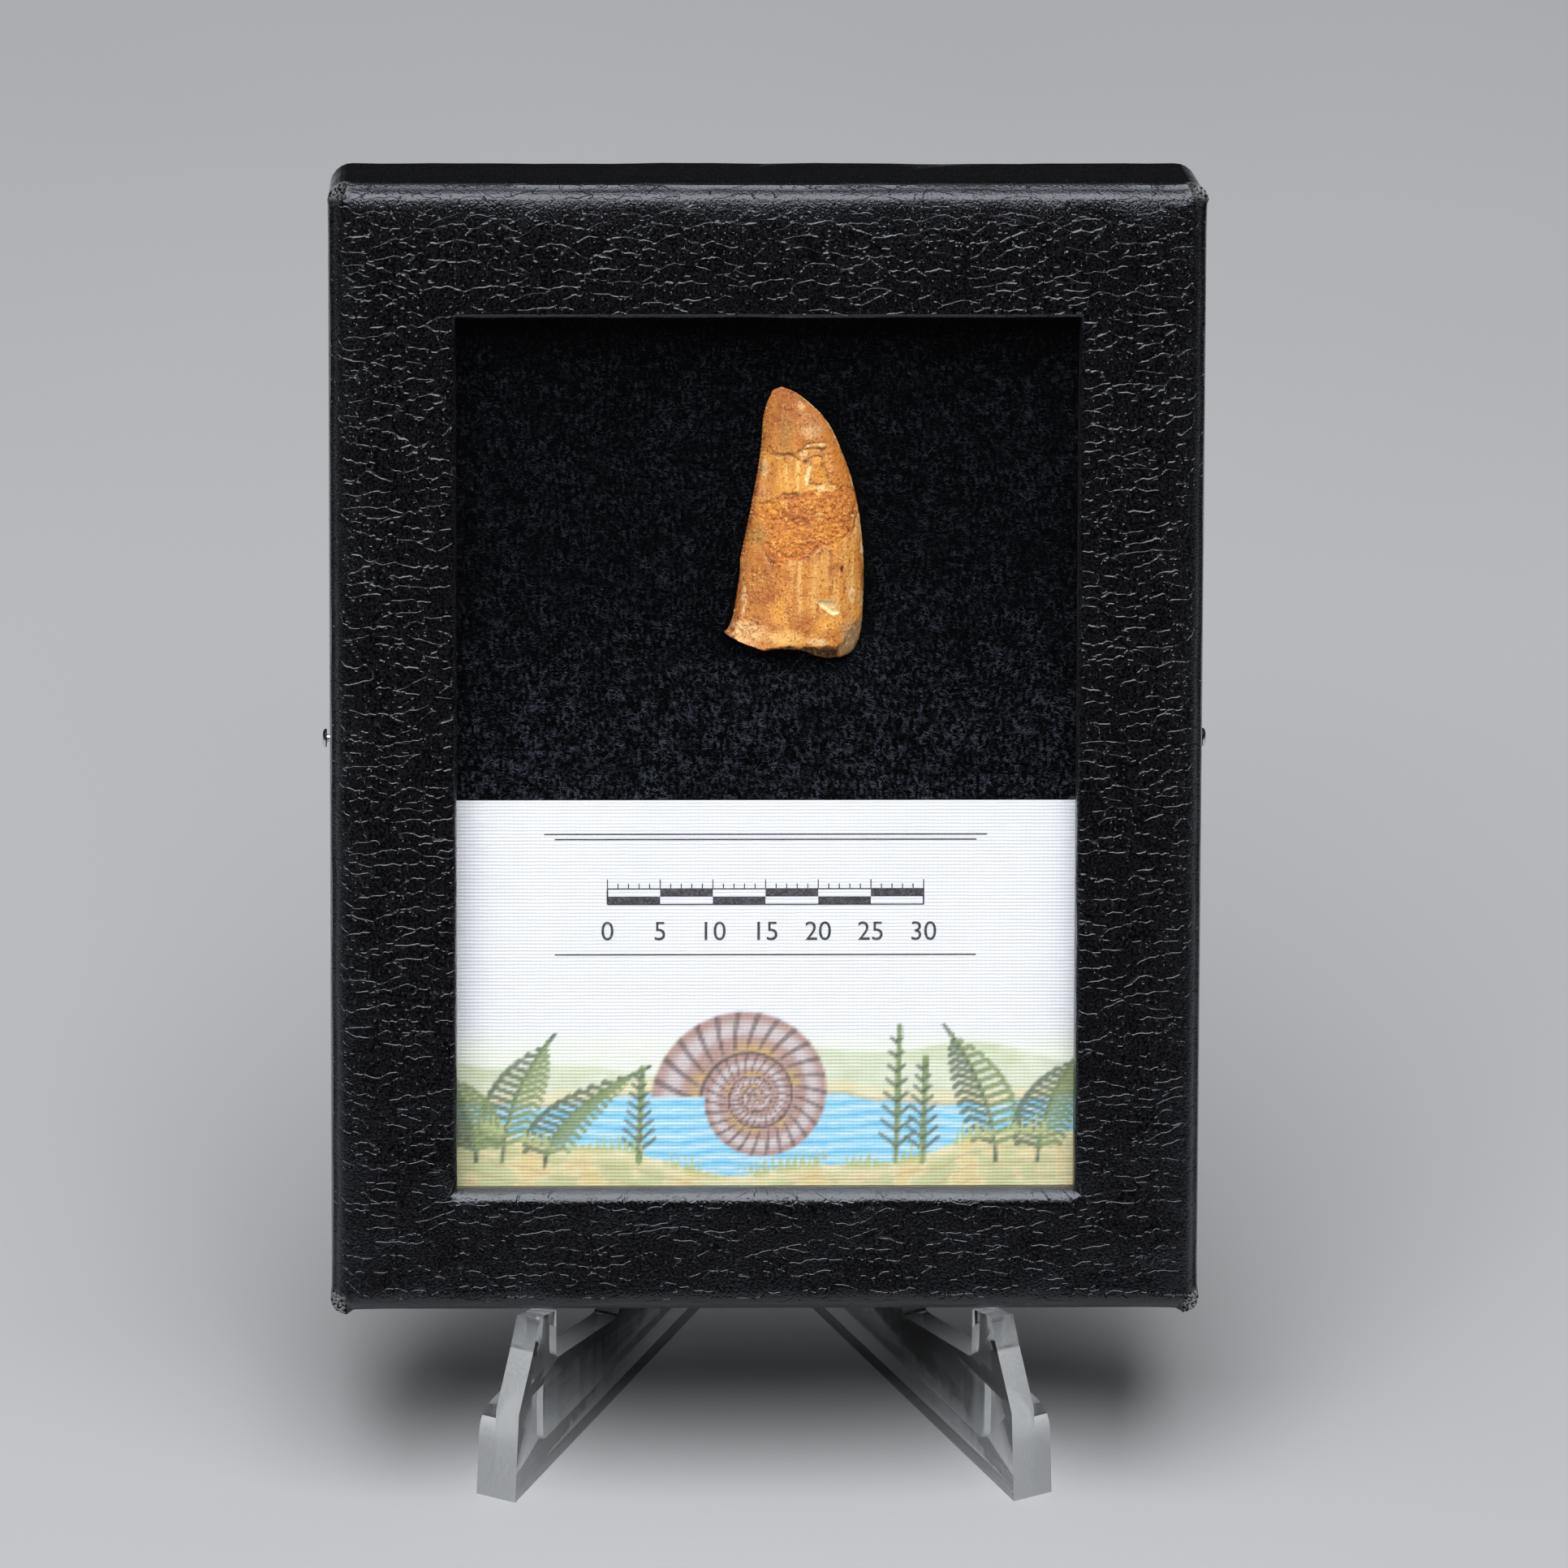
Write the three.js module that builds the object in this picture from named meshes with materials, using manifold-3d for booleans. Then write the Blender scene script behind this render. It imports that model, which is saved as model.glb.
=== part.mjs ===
// A fossil dinosaur tooth on black batting in a glazed specimen case, which leans back on a clear two-part easel.
// Millimetres, +Z up, front towards -Y. The origin is on the table, in the middle of the object's box.

import Module from 'manifold-3d';
import * as THREE from 'three';
import { mergeVertices } from 'three/addons/utils/BufferGeometryUtils.js';

// Driving dimensions. Inside the case, x runs across, y back from the front face and z up from the bottom edge.
const GAP = 0.3; // left between neighbouring pieces

const CASE_WIDTH = 82.55;
const CASE_HEIGHT = 107.95;
const CASE_DEPTH = 19;
const CASE_LEAN = THREE.MathUtils.degToRad(17.5);

const LID_DEPTH = 18.2;
const LID_WALL = 1.6;
const LID_BOARD = 2.4; // thickness of the front border
const LID_BORDER = 12; // width of the front border
const LID_EDGE_RADIUS = 2.7;
const LID_CORNER_RADIUS = 2.4;
const WINDOW_EDGE_RADIUS = 1;
const WINDOW_CORNER_RADIUS = 0.6;

const PANE_THICKNESS = 1.5;

const TRAY_WALL = 1.2;
const TRAY_FLOOR = 1.6;

const CARD_WIDTH = 75;
const CARD_TOP = 48.8; // height of the card's upper edge in the case
const CARD_THICKNESS = 0.35;

const TOOTH_X = 2.7; // middle of the tooth's base
const TOOTH_Z = 62.2;
const TOOTH_THICKNESS = 5.6; // at the base
const TOOTH_TIP_SET_BACK = 1; // how far the tip lies behind the base's front
// Edges of the crown as [across, up] from the middle of its base, from the broken base to the tip.
const STRAIGHT_EDGE = [
  [-6.7, 2.4], [-6.1, 4.4], [-5.1, 9.5], [-4.1, 14.5], [-3.2, 20], [-2.85, 23.7], [-2.4, 25.1], [-1.95, 25.75], [-1.3, 26],
];
const CURVED_EDGE = [
  [4.9, 0.2], [5.9, 2.4], [6.55, 7.5], [6.3, 12.3], [4.7, 19], [2.1, 23.7], [0.86, 24.8], [-0.3, 25.6], [-1.3, 26],
];
const BROKEN_BASE = [[-6.7, 2.4], [-4.6, 1.5], [-2.9, 0.9], [-1.5, 1.25], [0.5, 1.1], [1.8, 0.4], [3.1, 0], [4.9, 0.2]];

const BATTING_FRONT = 4.9; // depth of the fibre tips behind the case's front face
const BATTING_DENT = 2; // how far the tooth presses the batting in beside its edges

const PIN_HEAD_DIAMETER = 1.8;
const PIN_HEAD_THICKNESS = 0.5;
const PIN_SHANK_DIAMETER = 0.7;
const PIN_HEIGHT = 54;
const PIN_DEPTH = 9.5;

const STAND_PLATE = 2.4;
const STAND_SPREAD = THREE.MathUtils.degToRad(26); // turn of each half from straight back
const TOE_SPACING = 47.6; // between the inner corners of the toes
const CASE_FOOT_BACK = 5; // from the toes back to the case's bottom front edge
const CASE_FOOT_HEIGHT = 17.8;
const STAND_HEIGHT = 66;
const STAND_LENGTH = 64;
const LIP_END = 9; // from the toe to the front wall of the notch under the case
const NOTCH_FLOOR = 11.2;
const LAP_HEIGHT = 26; // where the slots of the two halves meet
const FOOT_RAIL = { thickness: 1.7, height: 2.5, length: 48 };
const FOOT_PAD = { height: 8.6, length: 8, round: 2.4 };

const MATERIALS = {
  tooth: { color: 0xc98f50, roughness: 0.55, metalness: 0 },
  batting: { color: 0x0b0c10, roughness: 1, metalness: 0 },
  card: { color: 0xf2f3f6, roughness: 0.85, metalness: 0 },
  glass: { color: 0xeef4f6, roughness: 0.05, metalness: 0, transparent: true, opacity: 0.2 },
  leatherette: { color: 0x121318, roughness: 0.5, metalness: 0 },
  board: { color: 0x1a1b1f, roughness: 0.8, metalness: 0 },
  steel: { color: 0xd8dade, roughness: 0.2, metalness: 1 },
  acrylic: { color: 0xe2e8ea, roughness: 0.1, metalness: 0, transparent: true, opacity: 0.4 },
};

const wasm = await Module();
wasm.setup();

// ---- Making solids ----

function toSolid(geometry) {
  geometry.deleteAttribute('normal');
  geometry.deleteAttribute('uv');
  const merged = mergeVertices(geometry);
  const { array } = merged.attributes.position;
  return new wasm.Manifold(new wasm.Mesh({ numProp: 3, vertProperties: array, triVerts: merged.index.array }));
}

function toGeometry(solid) {
  const { vertProperties, triVerts } = solid.getMesh();
  const geometry = new THREE.BufferGeometry();
  geometry.setAttribute('position', new THREE.BufferAttribute(vertProperties, 3));
  geometry.setIndex(new THREE.BufferAttribute(triVerts, 1));
  geometry.computeVertexNormals();
  return geometry;
}

function middleOf(points) {
  return points.reduce((sum, p) => sum.add(p), new THREE.Vector3()).divideScalar(points.length);
}

// Joins rings of equally many points into one closed skin: a loop of rings, or a stack with both ends closed.
// Each ring goes the same way round, and the first two decide which side is out.
function loft(rings, { loop = false } = {}) {
  const count = rings[0].length;
  const points = rings.flat();
  const indices = [];
  const last = loop ? rings.length : rings.length - 1;
  for (let r = 0; r < last; r++) {
    const next = (r + 1) % rings.length;
    for (let i = 0; i < count; i++) {
      const j = (i + 1) % count;
      const [a, b, c, d] = [r * count + i, r * count + j, next * count + j, next * count + i];
      indices.push(a, b, c, a, c, d);
    }
  }
  if (!loop) {
    points.push(middleOf(rings[0]), middleOf(rings.at(-1)));
    const end = (rings.length - 1) * count;
    for (let i = 0; i < count; i++) {
      const j = (i + 1) % count;
      indices.push(points.length - 2, j, i);
      indices.push(points.length - 1, end + i, end + j);
    }
  }
  const geometry = new THREE.BufferGeometry().setFromPoints(points);
  geometry.setIndex(indices);
  geometry.computeVertexNormals();
  return geometry;
}

function arc([x, y], radius, from, to, steps = 5) {
  return Array.from({ length: steps + 1 }, (_, i) => {
    const angle = from + ((to - from) * i) / steps;
    return [x + radius * Math.cos(angle), y + radius * Math.sin(angle)];
  });
}

// A rectangle with round corners, centred in the case's face at the given depth.
function caseRing(halfWidth, halfHeight, radius, depth) {
  const quarter = Math.PI / 2;
  const corners = [[1, 1], [-1, 1], [-1, -1], [1, -1]];
  return corners.flatMap(([sx, sz], i) => {
    const centre = [sx * (halfWidth - radius), sz * (halfHeight - radius)];
    const points = arc(centre, radius, i * quarter, (i + 1) * quarter, 4);
    return points.map(([x, z]) => new THREE.Vector3(x, depth, CASE_HEIGHT / 2 + z));
  });
}

function caseRingInset(inset, radius, depth) {
  return caseRing(CASE_WIDTH / 2 - inset, CASE_HEIGHT / 2 - inset, radius, depth);
}

// ---- The case ----

const PANE_FRONT = LID_BOARD + GAP;
const PANE_BACK = PANE_FRONT + PANE_THICKNESS;
const CARD_FRONT = PANE_BACK + GAP;
const TRAY_INSET = LID_WALL + GAP;
const BATTING_INSET = TRAY_INSET + TRAY_WALL + GAP;
const BATTING_BACK = CASE_DEPTH - TRAY_FLOOR - GAP;

function pinHole(radius) {
  const length = CASE_WIDTH + LID_WALL;
  const hole = new THREE.CylinderGeometry(radius, radius, length, 12);
  hole.rotateZ(Math.PI / 2).translate(0, PIN_DEPTH, PIN_HEIGHT);
  return toSolid(hole);
}

// The section goes round the wall and the front board: side, rounded edge, face, window edge, and back inside.
function lidFrame() {
  const section = [
    [0, LID_DEPTH],
    ...arc([LID_EDGE_RADIUS, LID_EDGE_RADIUS], LID_EDGE_RADIUS, Math.PI, 1.5 * Math.PI),
    ...arc([LID_BORDER - WINDOW_EDGE_RADIUS, WINDOW_EDGE_RADIUS], WINDOW_EDGE_RADIUS, 1.5 * Math.PI, 2 * Math.PI, 3),
    [LID_BORDER, LID_BOARD],
    [LID_WALL, LID_BOARD],
    [LID_WALL, LID_DEPTH],
  ];
  const rings = section.map(([inset, depth]) => {
    const radius = Math.max(LID_CORNER_RADIUS - inset, WINDOW_CORNER_RADIUS);
    return caseRingInset(inset, radius, depth);
  });
  return toGeometry(toSolid(loft(rings, { loop: true })).subtract(pinHole(PIN_SHANK_DIAMETER / 2 + GAP)));
}

function glassPane() {
  const width = CASE_WIDTH - 2 * TRAY_INSET;
  const height = CASE_HEIGHT - 2 * TRAY_INSET;
  const pane = new THREE.BoxGeometry(width, PANE_THICKNESS, height);
  return pane.translate(0, PANE_FRONT + PANE_THICKNESS / 2, CASE_HEIGHT / 2);
}

function tray() {
  const rim = PANE_BACK + GAP;
  const floor = CASE_DEPTH - TRAY_FLOOR;
  const inside = TRAY_INSET + TRAY_WALL;
  const rings = [
    caseRingInset(TRAY_INSET, 0.7, CASE_DEPTH),
    caseRingInset(TRAY_INSET, 0.7, rim),
    caseRingInset(inside, 0.5, rim),
    caseRingInset(inside, 0.5, floor),
  ];
  return toGeometry(toSolid(loft(rings)).subtract(pinHole(PIN_SHANK_DIAMETER / 2 + GAP)));
}

function labelCard() {
  const bottom = BATTING_INSET;
  const card = new THREE.BoxGeometry(CARD_WIDTH, CARD_THICKNESS, CARD_TOP - bottom);
  return card.translate(0, CARD_FRONT + CARD_THICKNESS / 2, (CARD_TOP + bottom) / 2);
}

// The pin stands on the left wall with its shank pointing to +X. The right one is its mirror image.
function pin(side) {
  const head = PIN_HEAD_DIAMETER / 2;
  const shank = PIN_SHANK_DIAMETER / 2;
  const outline = [
    [0, 0],
    [head * 0.6, 0.04],
    [head * 0.92, PIN_HEAD_THICKNESS * 0.4],
    [head, PIN_HEAD_THICKNESS],
    [shank, PIN_HEAD_THICKNESS],
    [shank, PIN_HEAD_THICKNESS + TRAY_INSET + TRAY_WALL],
    [0, PIN_HEAD_THICKNESS + TRAY_INSET + TRAY_WALL + shank],
  ];
  const lathe = new THREE.LatheGeometry(outline.map(([x, y]) => new THREE.Vector2(x, y)), 16);
  const turned = toSolid(lathe.rotateZ(-Math.PI / 2));
  const placed = side < 0 ? turned : turned.mirror([1, 0, 0]);
  const x = side * (CASE_WIDTH / 2 + GAP + PIN_HEAD_THICKNESS);
  return toGeometry(placed.translate([x, PIN_DEPTH, PIN_HEIGHT]));
}

// ---- The tooth ----

const TOOTH_FRONT = CARD_FRONT + 0.1;
const TOOTH_LENGTH = 26;
const TOOTH_RINGS = 32;
const TOOTH_TIP = 0.996; // share of the length that the last ring reaches
const HOLLOW_TIP = 0.985; // from here the hollow keeps its width
const TOOTH_COLUMNS = 15; // from edge to edge, on the front and on the back
const LENS_POWER = 1.24; // 1 is a round section, and more draws the edges out thin

function along(edge) {
  const up = edge.map((p) => p[1]);
  const across = new THREE.CubicInterpolant(up, edge.map((p) => p[0]), 1);
  return (t) => {
    const z = THREE.MathUtils.lerp(up[0], up.at(-1), t);
    return [across.evaluate(z)[0], z];
  };
}

const straightEdge = along(STRAIGHT_EDGE);
const curvedEdge = along(CURVED_EDGE);
const toothHalfThickness = (t) => (TOOTH_THICKNESS / 2) * (0.22 + 0.78 * (1 - t ** 1.6)) * (1 - t ** 9) ** 0.5;
const toothMiddle = (t) => TOOTH_FRONT + toothHalfThickness(t) + TOOTH_TIP_SET_BACK * t * t;
const { smoothstep } = THREE.MathUtils;

// Depth of the worn front at a place on the crown: a broken ledge below the tip, the pitted belt of matrix
// under it, a chip low on the convex side, and the granular lumps of the belt.
function toothRelief(x, z) {
  const ledge = 19.9 + 0.2 * x;
  const beltTop = 15.8 + 0.15 * x;
  const beltBottom = 9.8 + 0.09 * (x + 0.9) ** 2;
  const broken = smoothstep(ledge + 0.3 - z, 0, 0.6) * (1 - smoothstep(beltTop + 0.3 - z, 0, 0.6));
  const belt = smoothstep(beltTop + 0.3 - z, 0, 0.6) * (1 - smoothstep(beltBottom + 0.3 - z, 0, 0.6));
  const lumps = 0.1 * Math.sin(3.1 * x + 1.7 * z) * Math.sin(2.3 * z - 1.9 * x + 0.8);
  const chip = 1 - smoothstep(Math.hypot((x - 3.1) / 1.3, (z - 5.1) / 0.9), 0.4, 1);
  return 0.4 * broken + (0.22 + lumps) * belt + 0.35 * chip;
}

// How far the broken base stands above or below a straight line from the straight to the curved edge.
const baseLine = new THREE.LinearInterpolant(BROKEN_BASE.map((p) => p[0]), BROKEN_BASE.map((p) => p[1]), 1);
function baseBreak(share) {
  const [start, end] = [BROKEN_BASE[0], BROKEN_BASE.at(-1)];
  const x = THREE.MathUtils.lerp(start[0], end[0], share);
  return baseLine.evaluate(x)[0] - THREE.MathUtils.lerp(start[1], end[1], share);
}

// One ring of the crown in the case. Grown by `extra` all round, it is the hollow that the crown presses into
// the batting, whose front side is carried forward to `openTo`.
function toothRing(t, { extra = 0, openTo = null } = {}) {
  const along01 = THREE.MathUtils.clamp(t, 0, openTo === null ? TOOTH_TIP : HOLLOW_TIP);
  const [x0, z0] = straightEdge(along01);
  const [x1, z1] = curvedEdge(along01);
  const lift = (t - along01) * TOOTH_LENGTH;
  const half = toothHalfThickness(along01);
  const middle = toothMiddle(along01);
  const ring = [];
  for (let i = 0; i < 2 * TOOTH_COLUMNS; i++) {
    const angle = (Math.PI * i) / TOOTH_COLUMNS;
    const share = (1 - Math.cos(angle)) / 2;
    const bulge = Math.sign(Math.sin(angle)) * Math.abs(Math.sin(angle)) ** LENS_POWER;
    const front = bulge > 1e-6;
    const x = THREE.MathUtils.lerp(x0 - extra, x1 + extra, share);
    const z = THREE.MathUtils.lerp(z0, z1, share) + lift + baseBreak(share) * (1 - along01) ** 6;
    let y = middle - (half + extra) * bulge;
    if (front && openTo === null) y += Math.min(toothRelief(x, z), 0.6 * half) * Math.min(1, 2 * Math.abs(bulge));
    if (front && openTo !== null) y = openTo;
    ring.push(new THREE.Vector3(TOOTH_X + x, y, TOOTH_Z + z));
  }
  return ring;
}

function tooth() {
  // The rings lie closer together towards the rounded tip.
  const rings = Array.from({ length: TOOTH_RINGS + 1 }, (_, i) => {
    return toothRing(TOOTH_TIP * (1 - (1 - i / TOOTH_RINGS) ** 1.25));
  });
  return loft(rings);
}

function toothHollow() {
  const extra = GAP + 0.15;
  const reach = extra / TOOTH_LENGTH;
  const openTo = BATTING_FRONT - 1;
  const steps = 20;
  const rings = Array.from({ length: steps + 1 }, (_, i) => {
    return toothRing(-reach + ((1 + 2.2 * reach) * i) / steps, { extra, openTo });
  });
  return toSolid(loft(rings));
}

// ---- The batting ----

// The pad's front swells to the pane, is pressed flat under the card and sinks round the tooth.
function battingFront(x, z) {
  const nearTooth = Math.hypot((x - TOOTH_X) / 9, (z - TOOTH_Z - TOOTH_LENGTH / 2) / 16.5);
  const dent = BATTING_DENT * (1 - smoothstep(nearTooth, 0.75, 1.5));
  const cardBack = CARD_FRONT + CARD_THICKNESS + GAP;
  const pressed = (cardBack - BATTING_FRONT) * smoothstep(CARD_TOP + 3 - z, 0, 2.5);
  return BATTING_FRONT + dent + pressed;
}

// Grid lines over a length, closer together between `from` and `to`.
function gridLines(start, end, from, to, wide, close) {
  const spread = (a, b, step) => {
    const count = Math.max(1, Math.round((b - a) / step));
    return Array.from({ length: count }, (_, i) => a + ((b - a) * i) / count);
  };
  return [...spread(start, from, wide), ...spread(from, to, close), ...spread(to, end, wide), end];
}

function batting() {
  const halfWidth = CASE_WIDTH / 2 - BATTING_INSET;
  const xs = gridLines(-halfWidth, halfWidth, TOOTH_X - 13, TOOTH_X + 13, 6, 1.9);
  const zs = gridLines(BATTING_INSET, CASE_HEIGHT - BATTING_INSET, CARD_TOP, TOOTH_Z + 36, 8, 2);
  const rows = zs.map((z) => xs.map((x) => new THREE.Vector3(x, battingFront(x, z), z)));
  const rings = rows.map((row) => {
    const back = row.map((p) => new THREE.Vector3(p.x, BATTING_BACK, p.z)).reverse();
    return [...row, ...back];
  });
  return toGeometry(toSolid(loft(rings)).subtract(toothHollow()));
}

// ---- The easel ----

// Everything within the gap round the case, which the easel's halves are cut by.
function caseClearance() {
  const grow = 2 * GAP;
  const block = new THREE.BoxGeometry(CASE_WIDTH + grow, CASE_DEPTH + grow, CASE_HEIGHT + grow);
  block.translate(0, CASE_DEPTH / 2, CASE_HEIGHT / 2);
  block.rotateX(-CASE_LEAN).translate(0, CASE_FOOT_BACK, CASE_FOOT_HEIGHT);
  return toSolid(block);
}

// A plate cut from the side view, x back from the toe and y up. It lies on the plane x = 0 of the half, with
// its thickness towards -X, and runs back along +Y.
function plate(shape, thickness) {
  const geometry = new THREE.ExtrudeGeometry(shape, { depth: thickness, bevelEnabled: false, curveSegments: 6 });
  geometry.rotateX(Math.PI / 2).rotateZ(Math.PI / 2).translate(-thickness, 0, 0);
  return toSolid(geometry);
}

function webShape() {
  const backOfCase = (z) => {
    const behind = (CASE_DEPTH + (z - CASE_FOOT_HEIGHT) * Math.sin(CASE_LEAN)) / Math.cos(CASE_LEAN);
    return (CASE_FOOT_BACK + behind) / Math.cos(STAND_SPREAD);
  };
  const overlap = 1.6; // reaches into the case's place, so that the cut is flush with the case
  const shape = new THREE.Shape();
  shape.moveTo(0, 0);
  shape.lineTo(0.8, 9.2);
  shape.lineTo(4, 14.6);
  shape.lineTo(5.1, 16.8);
  shape.quadraticCurveTo(5.6, CASE_FOOT_HEIGHT, 6.6, CASE_FOOT_HEIGHT + 0.4);
  shape.lineTo(LIP_END, CASE_FOOT_HEIGHT + 0.4);
  shape.lineTo(LIP_END, NOTCH_FLOOR + 0.8);
  shape.quadraticCurveTo(LIP_END, NOTCH_FLOOR, LIP_END + 0.8, NOTCH_FLOOR - 0.1);
  shape.lineTo(backOfCase(10) - overlap - 1.5, NOTCH_FLOOR - 2.3);
  shape.quadraticCurveTo(backOfCase(10) - overlap, NOTCH_FLOOR - 2.5, backOfCase(11) - overlap, NOTCH_FLOOR);
  shape.lineTo(backOfCase(STAND_HEIGHT - 4) - overlap, STAND_HEIGHT - 4);
  shape.quadraticCurveTo(backOfCase(STAND_HEIGHT), STAND_HEIGHT, backOfCase(STAND_HEIGHT) + 3, STAND_HEIGHT);
  shape.quadraticCurveTo(STAND_LENGTH - 7, STAND_HEIGHT - 1, STAND_LENGTH - 4, STAND_HEIGHT - 16);
  shape.lineTo(STAND_LENGTH, 3);
  shape.quadraticCurveTo(STAND_LENGTH + 0.2, 0, STAND_LENGTH - 2.5, 0);
  return shape;
}

function railShape() {
  const shape = new THREE.Shape();
  shape.moveTo(0, 0);
  shape.lineTo(FOOT_RAIL.length, 0);
  shape.quadraticCurveTo(FOOT_RAIL.length, FOOT_RAIL.height, FOOT_RAIL.length - 3, FOOT_RAIL.height);
  shape.lineTo(FOOT_PAD.length + 1, FOOT_RAIL.height);
  shape.quadraticCurveTo(FOOT_PAD.length, FOOT_RAIL.height, FOOT_PAD.length, FOOT_RAIL.height + 1);
  shape.lineTo(FOOT_PAD.length, FOOT_PAD.height);
  shape.lineTo(0.75 + FOOT_PAD.round, FOOT_PAD.height);
  shape.quadraticCurveTo(0.7, FOOT_PAD.height, 0.55, FOOT_PAD.height - FOOT_PAD.round);
  return shape;
}

// Turns a half's solid from its own frame to its place. The left half's toe is at -X and its tail crosses to +X.
function placeHalf(half, side) {
  const turned = side < 0 ? half : half.mirror([1, 0, 0]);
  const angle = THREE.MathUtils.radToDeg(STAND_SPREAD);
  return turned.rotate([0, 0, side * angle]).translate([(side * TOE_SPACING) / 2, 0, 0]);
}

// The slot is the other half's plate with the gap round it, over the half of the height that this one gives up.
function slotFor(side) {
  const tall = 2 * STAND_HEIGHT;
  const long = 2 * STAND_LENGTH;
  const block = new THREE.BoxGeometry(STAND_PLATE + 2 * GAP, long, tall);
  const middle = side < 0 ? LAP_HEIGHT - GAP / 2 + tall / 2 : LAP_HEIGHT + GAP / 2 - tall / 2;
  block.translate(-STAND_PLATE / 2, long / 2, middle);
  return placeHalf(toSolid(block), -side);
}

function standHalf(side) {
  const web = plate(webShape(), STAND_PLATE);
  const rail = plate(railShape(), STAND_PLATE + FOOT_RAIL.thickness);
  const placed = placeHalf(web.add(rail), side);
  return toGeometry(placed.subtract(caseClearance()).subtract(slotFor(side)));
}

// ---- The scene graph ----

function piece(name, material, geometry) {
  const mesh = new THREE.Mesh(geometry, new THREE.MeshStandardMaterial(MATERIALS[material]));
  mesh.name = name;
  return mesh;
}

const displayCase = new THREE.Group();
displayCase.add(
  piece('lid_frame', 'leatherette', lidFrame()),
  piece('glass_pane', 'glass', glassPane()),
  piece('tray', 'board', tray()),
  piece('batting', 'batting', batting()),
  piece('label_card', 'card', labelCard()),
  piece('tooth', 'tooth', tooth()),
  piece('pin_left', 'steel', pin(-1)),
  piece('pin_right', 'steel', pin(1)),
);
displayCase.rotation.x = -CASE_LEAN;
displayCase.position.set(0, CASE_FOOT_BACK, CASE_FOOT_HEIGHT);

const easel = new THREE.Group();
easel.add(
  piece('stand_left_half', 'acrylic', standHalf(-1)),
  piece('stand_right_half', 'acrylic', standHalf(1)),
);

const assembly = new THREE.Group();
assembly.add(displayCase, easel);
const box = new THREE.Box3().setFromObject(assembly, true);
const centre = box.getCenter(new THREE.Vector3());
assembly.position.set(-centre.x, -centre.y, -box.min.z);

const part = new THREE.Group();
part.add(assembly);

export default part;
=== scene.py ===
import math

import bmesh
import bpy
import numpy as np
from mathutils import Matrix, Vector, noise


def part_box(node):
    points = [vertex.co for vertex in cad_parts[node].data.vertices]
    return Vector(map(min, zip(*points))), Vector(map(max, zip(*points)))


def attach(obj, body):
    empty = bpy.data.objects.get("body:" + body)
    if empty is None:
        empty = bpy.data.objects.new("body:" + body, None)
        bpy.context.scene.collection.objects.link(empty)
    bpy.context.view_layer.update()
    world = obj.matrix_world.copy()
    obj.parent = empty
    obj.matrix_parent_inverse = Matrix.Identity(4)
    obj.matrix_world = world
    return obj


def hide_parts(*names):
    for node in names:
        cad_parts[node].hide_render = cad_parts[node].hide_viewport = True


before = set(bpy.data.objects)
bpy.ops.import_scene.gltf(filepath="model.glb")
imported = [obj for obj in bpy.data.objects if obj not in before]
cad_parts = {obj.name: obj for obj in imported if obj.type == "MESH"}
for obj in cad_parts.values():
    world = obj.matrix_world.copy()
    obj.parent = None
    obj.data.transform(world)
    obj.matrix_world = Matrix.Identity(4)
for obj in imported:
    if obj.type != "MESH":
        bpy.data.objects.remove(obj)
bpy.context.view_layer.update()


# ---- Camera ----
# A long lens looks down on the case from the front, a little from its left, and all but square to its pane.

CAMERA_AIM = Vector((0.0016, -0.0093, 0.0667))
CAMERA_DISTANCE = 1.06
CAMERA_LENS = 258  # on a sensor 36 wide
CAMERA_DOWN, CAMERA_TURN, CAMERA_ROLL = (math.radians(angle) for angle in (26.9, 1.7, 0.7))


def added(name, data):
    """A new object in the scene that shows the data."""
    made = bpy.data.objects.new(name, data)
    bpy.context.collection.objects.link(made)
    return made


camera = added("camera", bpy.data.cameras.new("camera"))
camera.data.lens = CAMERA_LENS
camera_turn = (
    Matrix.Rotation(-CAMERA_TURN, 4, "Z")
    @ Matrix.Rotation(math.pi / 2 - CAMERA_DOWN, 4, "X")
    @ Matrix.Rotation(CAMERA_ROLL, 4, "Z")
)
camera_place = CAMERA_AIM + CAMERA_DISTANCE * (camera_turn @ Vector((0, 0, 1)))
camera.matrix_world = Matrix.Translation(camera_place) @ camera_turn
bpy.context.scene.camera = camera


# ---- Floor and lights ----
# A round pale floor under one wide soft box overhead and in front, with a weak one high up behind. Nothing
# bright stands low in front, where the leaning pane would mirror it.

FLOOR_SIZE = 0.76
STUDIO_DIM, STUDIO_PALE = (0.01, 0.0105, 0.0115, 1), (0.42, 0.43, 0.44, 1)
FLOOR_COLOUR = (0.4, 0.405, 0.415, 1)
FLOOR_SHADE = (0.37, 0.375, 0.385, 1)
LIGHTS_AIM = Vector((0, 0, 0.06))
MILLIMETRE = 0.001


class Value:
    """A number that varies over a surface. Arithmetic on it adds Math nodes to its finish."""

    def __init__(self, finish, socket):
        self.finish = finish
        self.socket = socket

    def math(self, operation, *terms):
        return self.finish.node("ShaderNodeMath", {"operation": operation}, dict(enumerate(terms)))

    def sine(self):
        return self.math("SINE", self)

    def size(self):
        return self.math("ABSOLUTE", self)

    def root(self):
        return self.math("SQRT", self)

    def __add__(self, other):
        return self.math("ADD", self, other)

    def __sub__(self, other):
        return self.math("SUBTRACT", self, other)

    def __rsub__(self, other):
        return self.math("SUBTRACT", other, self)

    def __mul__(self, other):
        return self.math("MULTIPLY", self, other)

    def __truediv__(self, other):
        return self.math("DIVIDE", self, other)

    __radd__ = __add__
    __rmul__ = __mul__

    def between(self, low, high):
        """0 up to `low` and 1 from `high` on, with a smooth step between them."""
        sockets = {"Value": self, "From Min": low, "From Max": high}
        return self.finish.node("ShaderNodeMapRange", {"interpolation_type": "SMOOTHSTEP"}, sockets)


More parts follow.
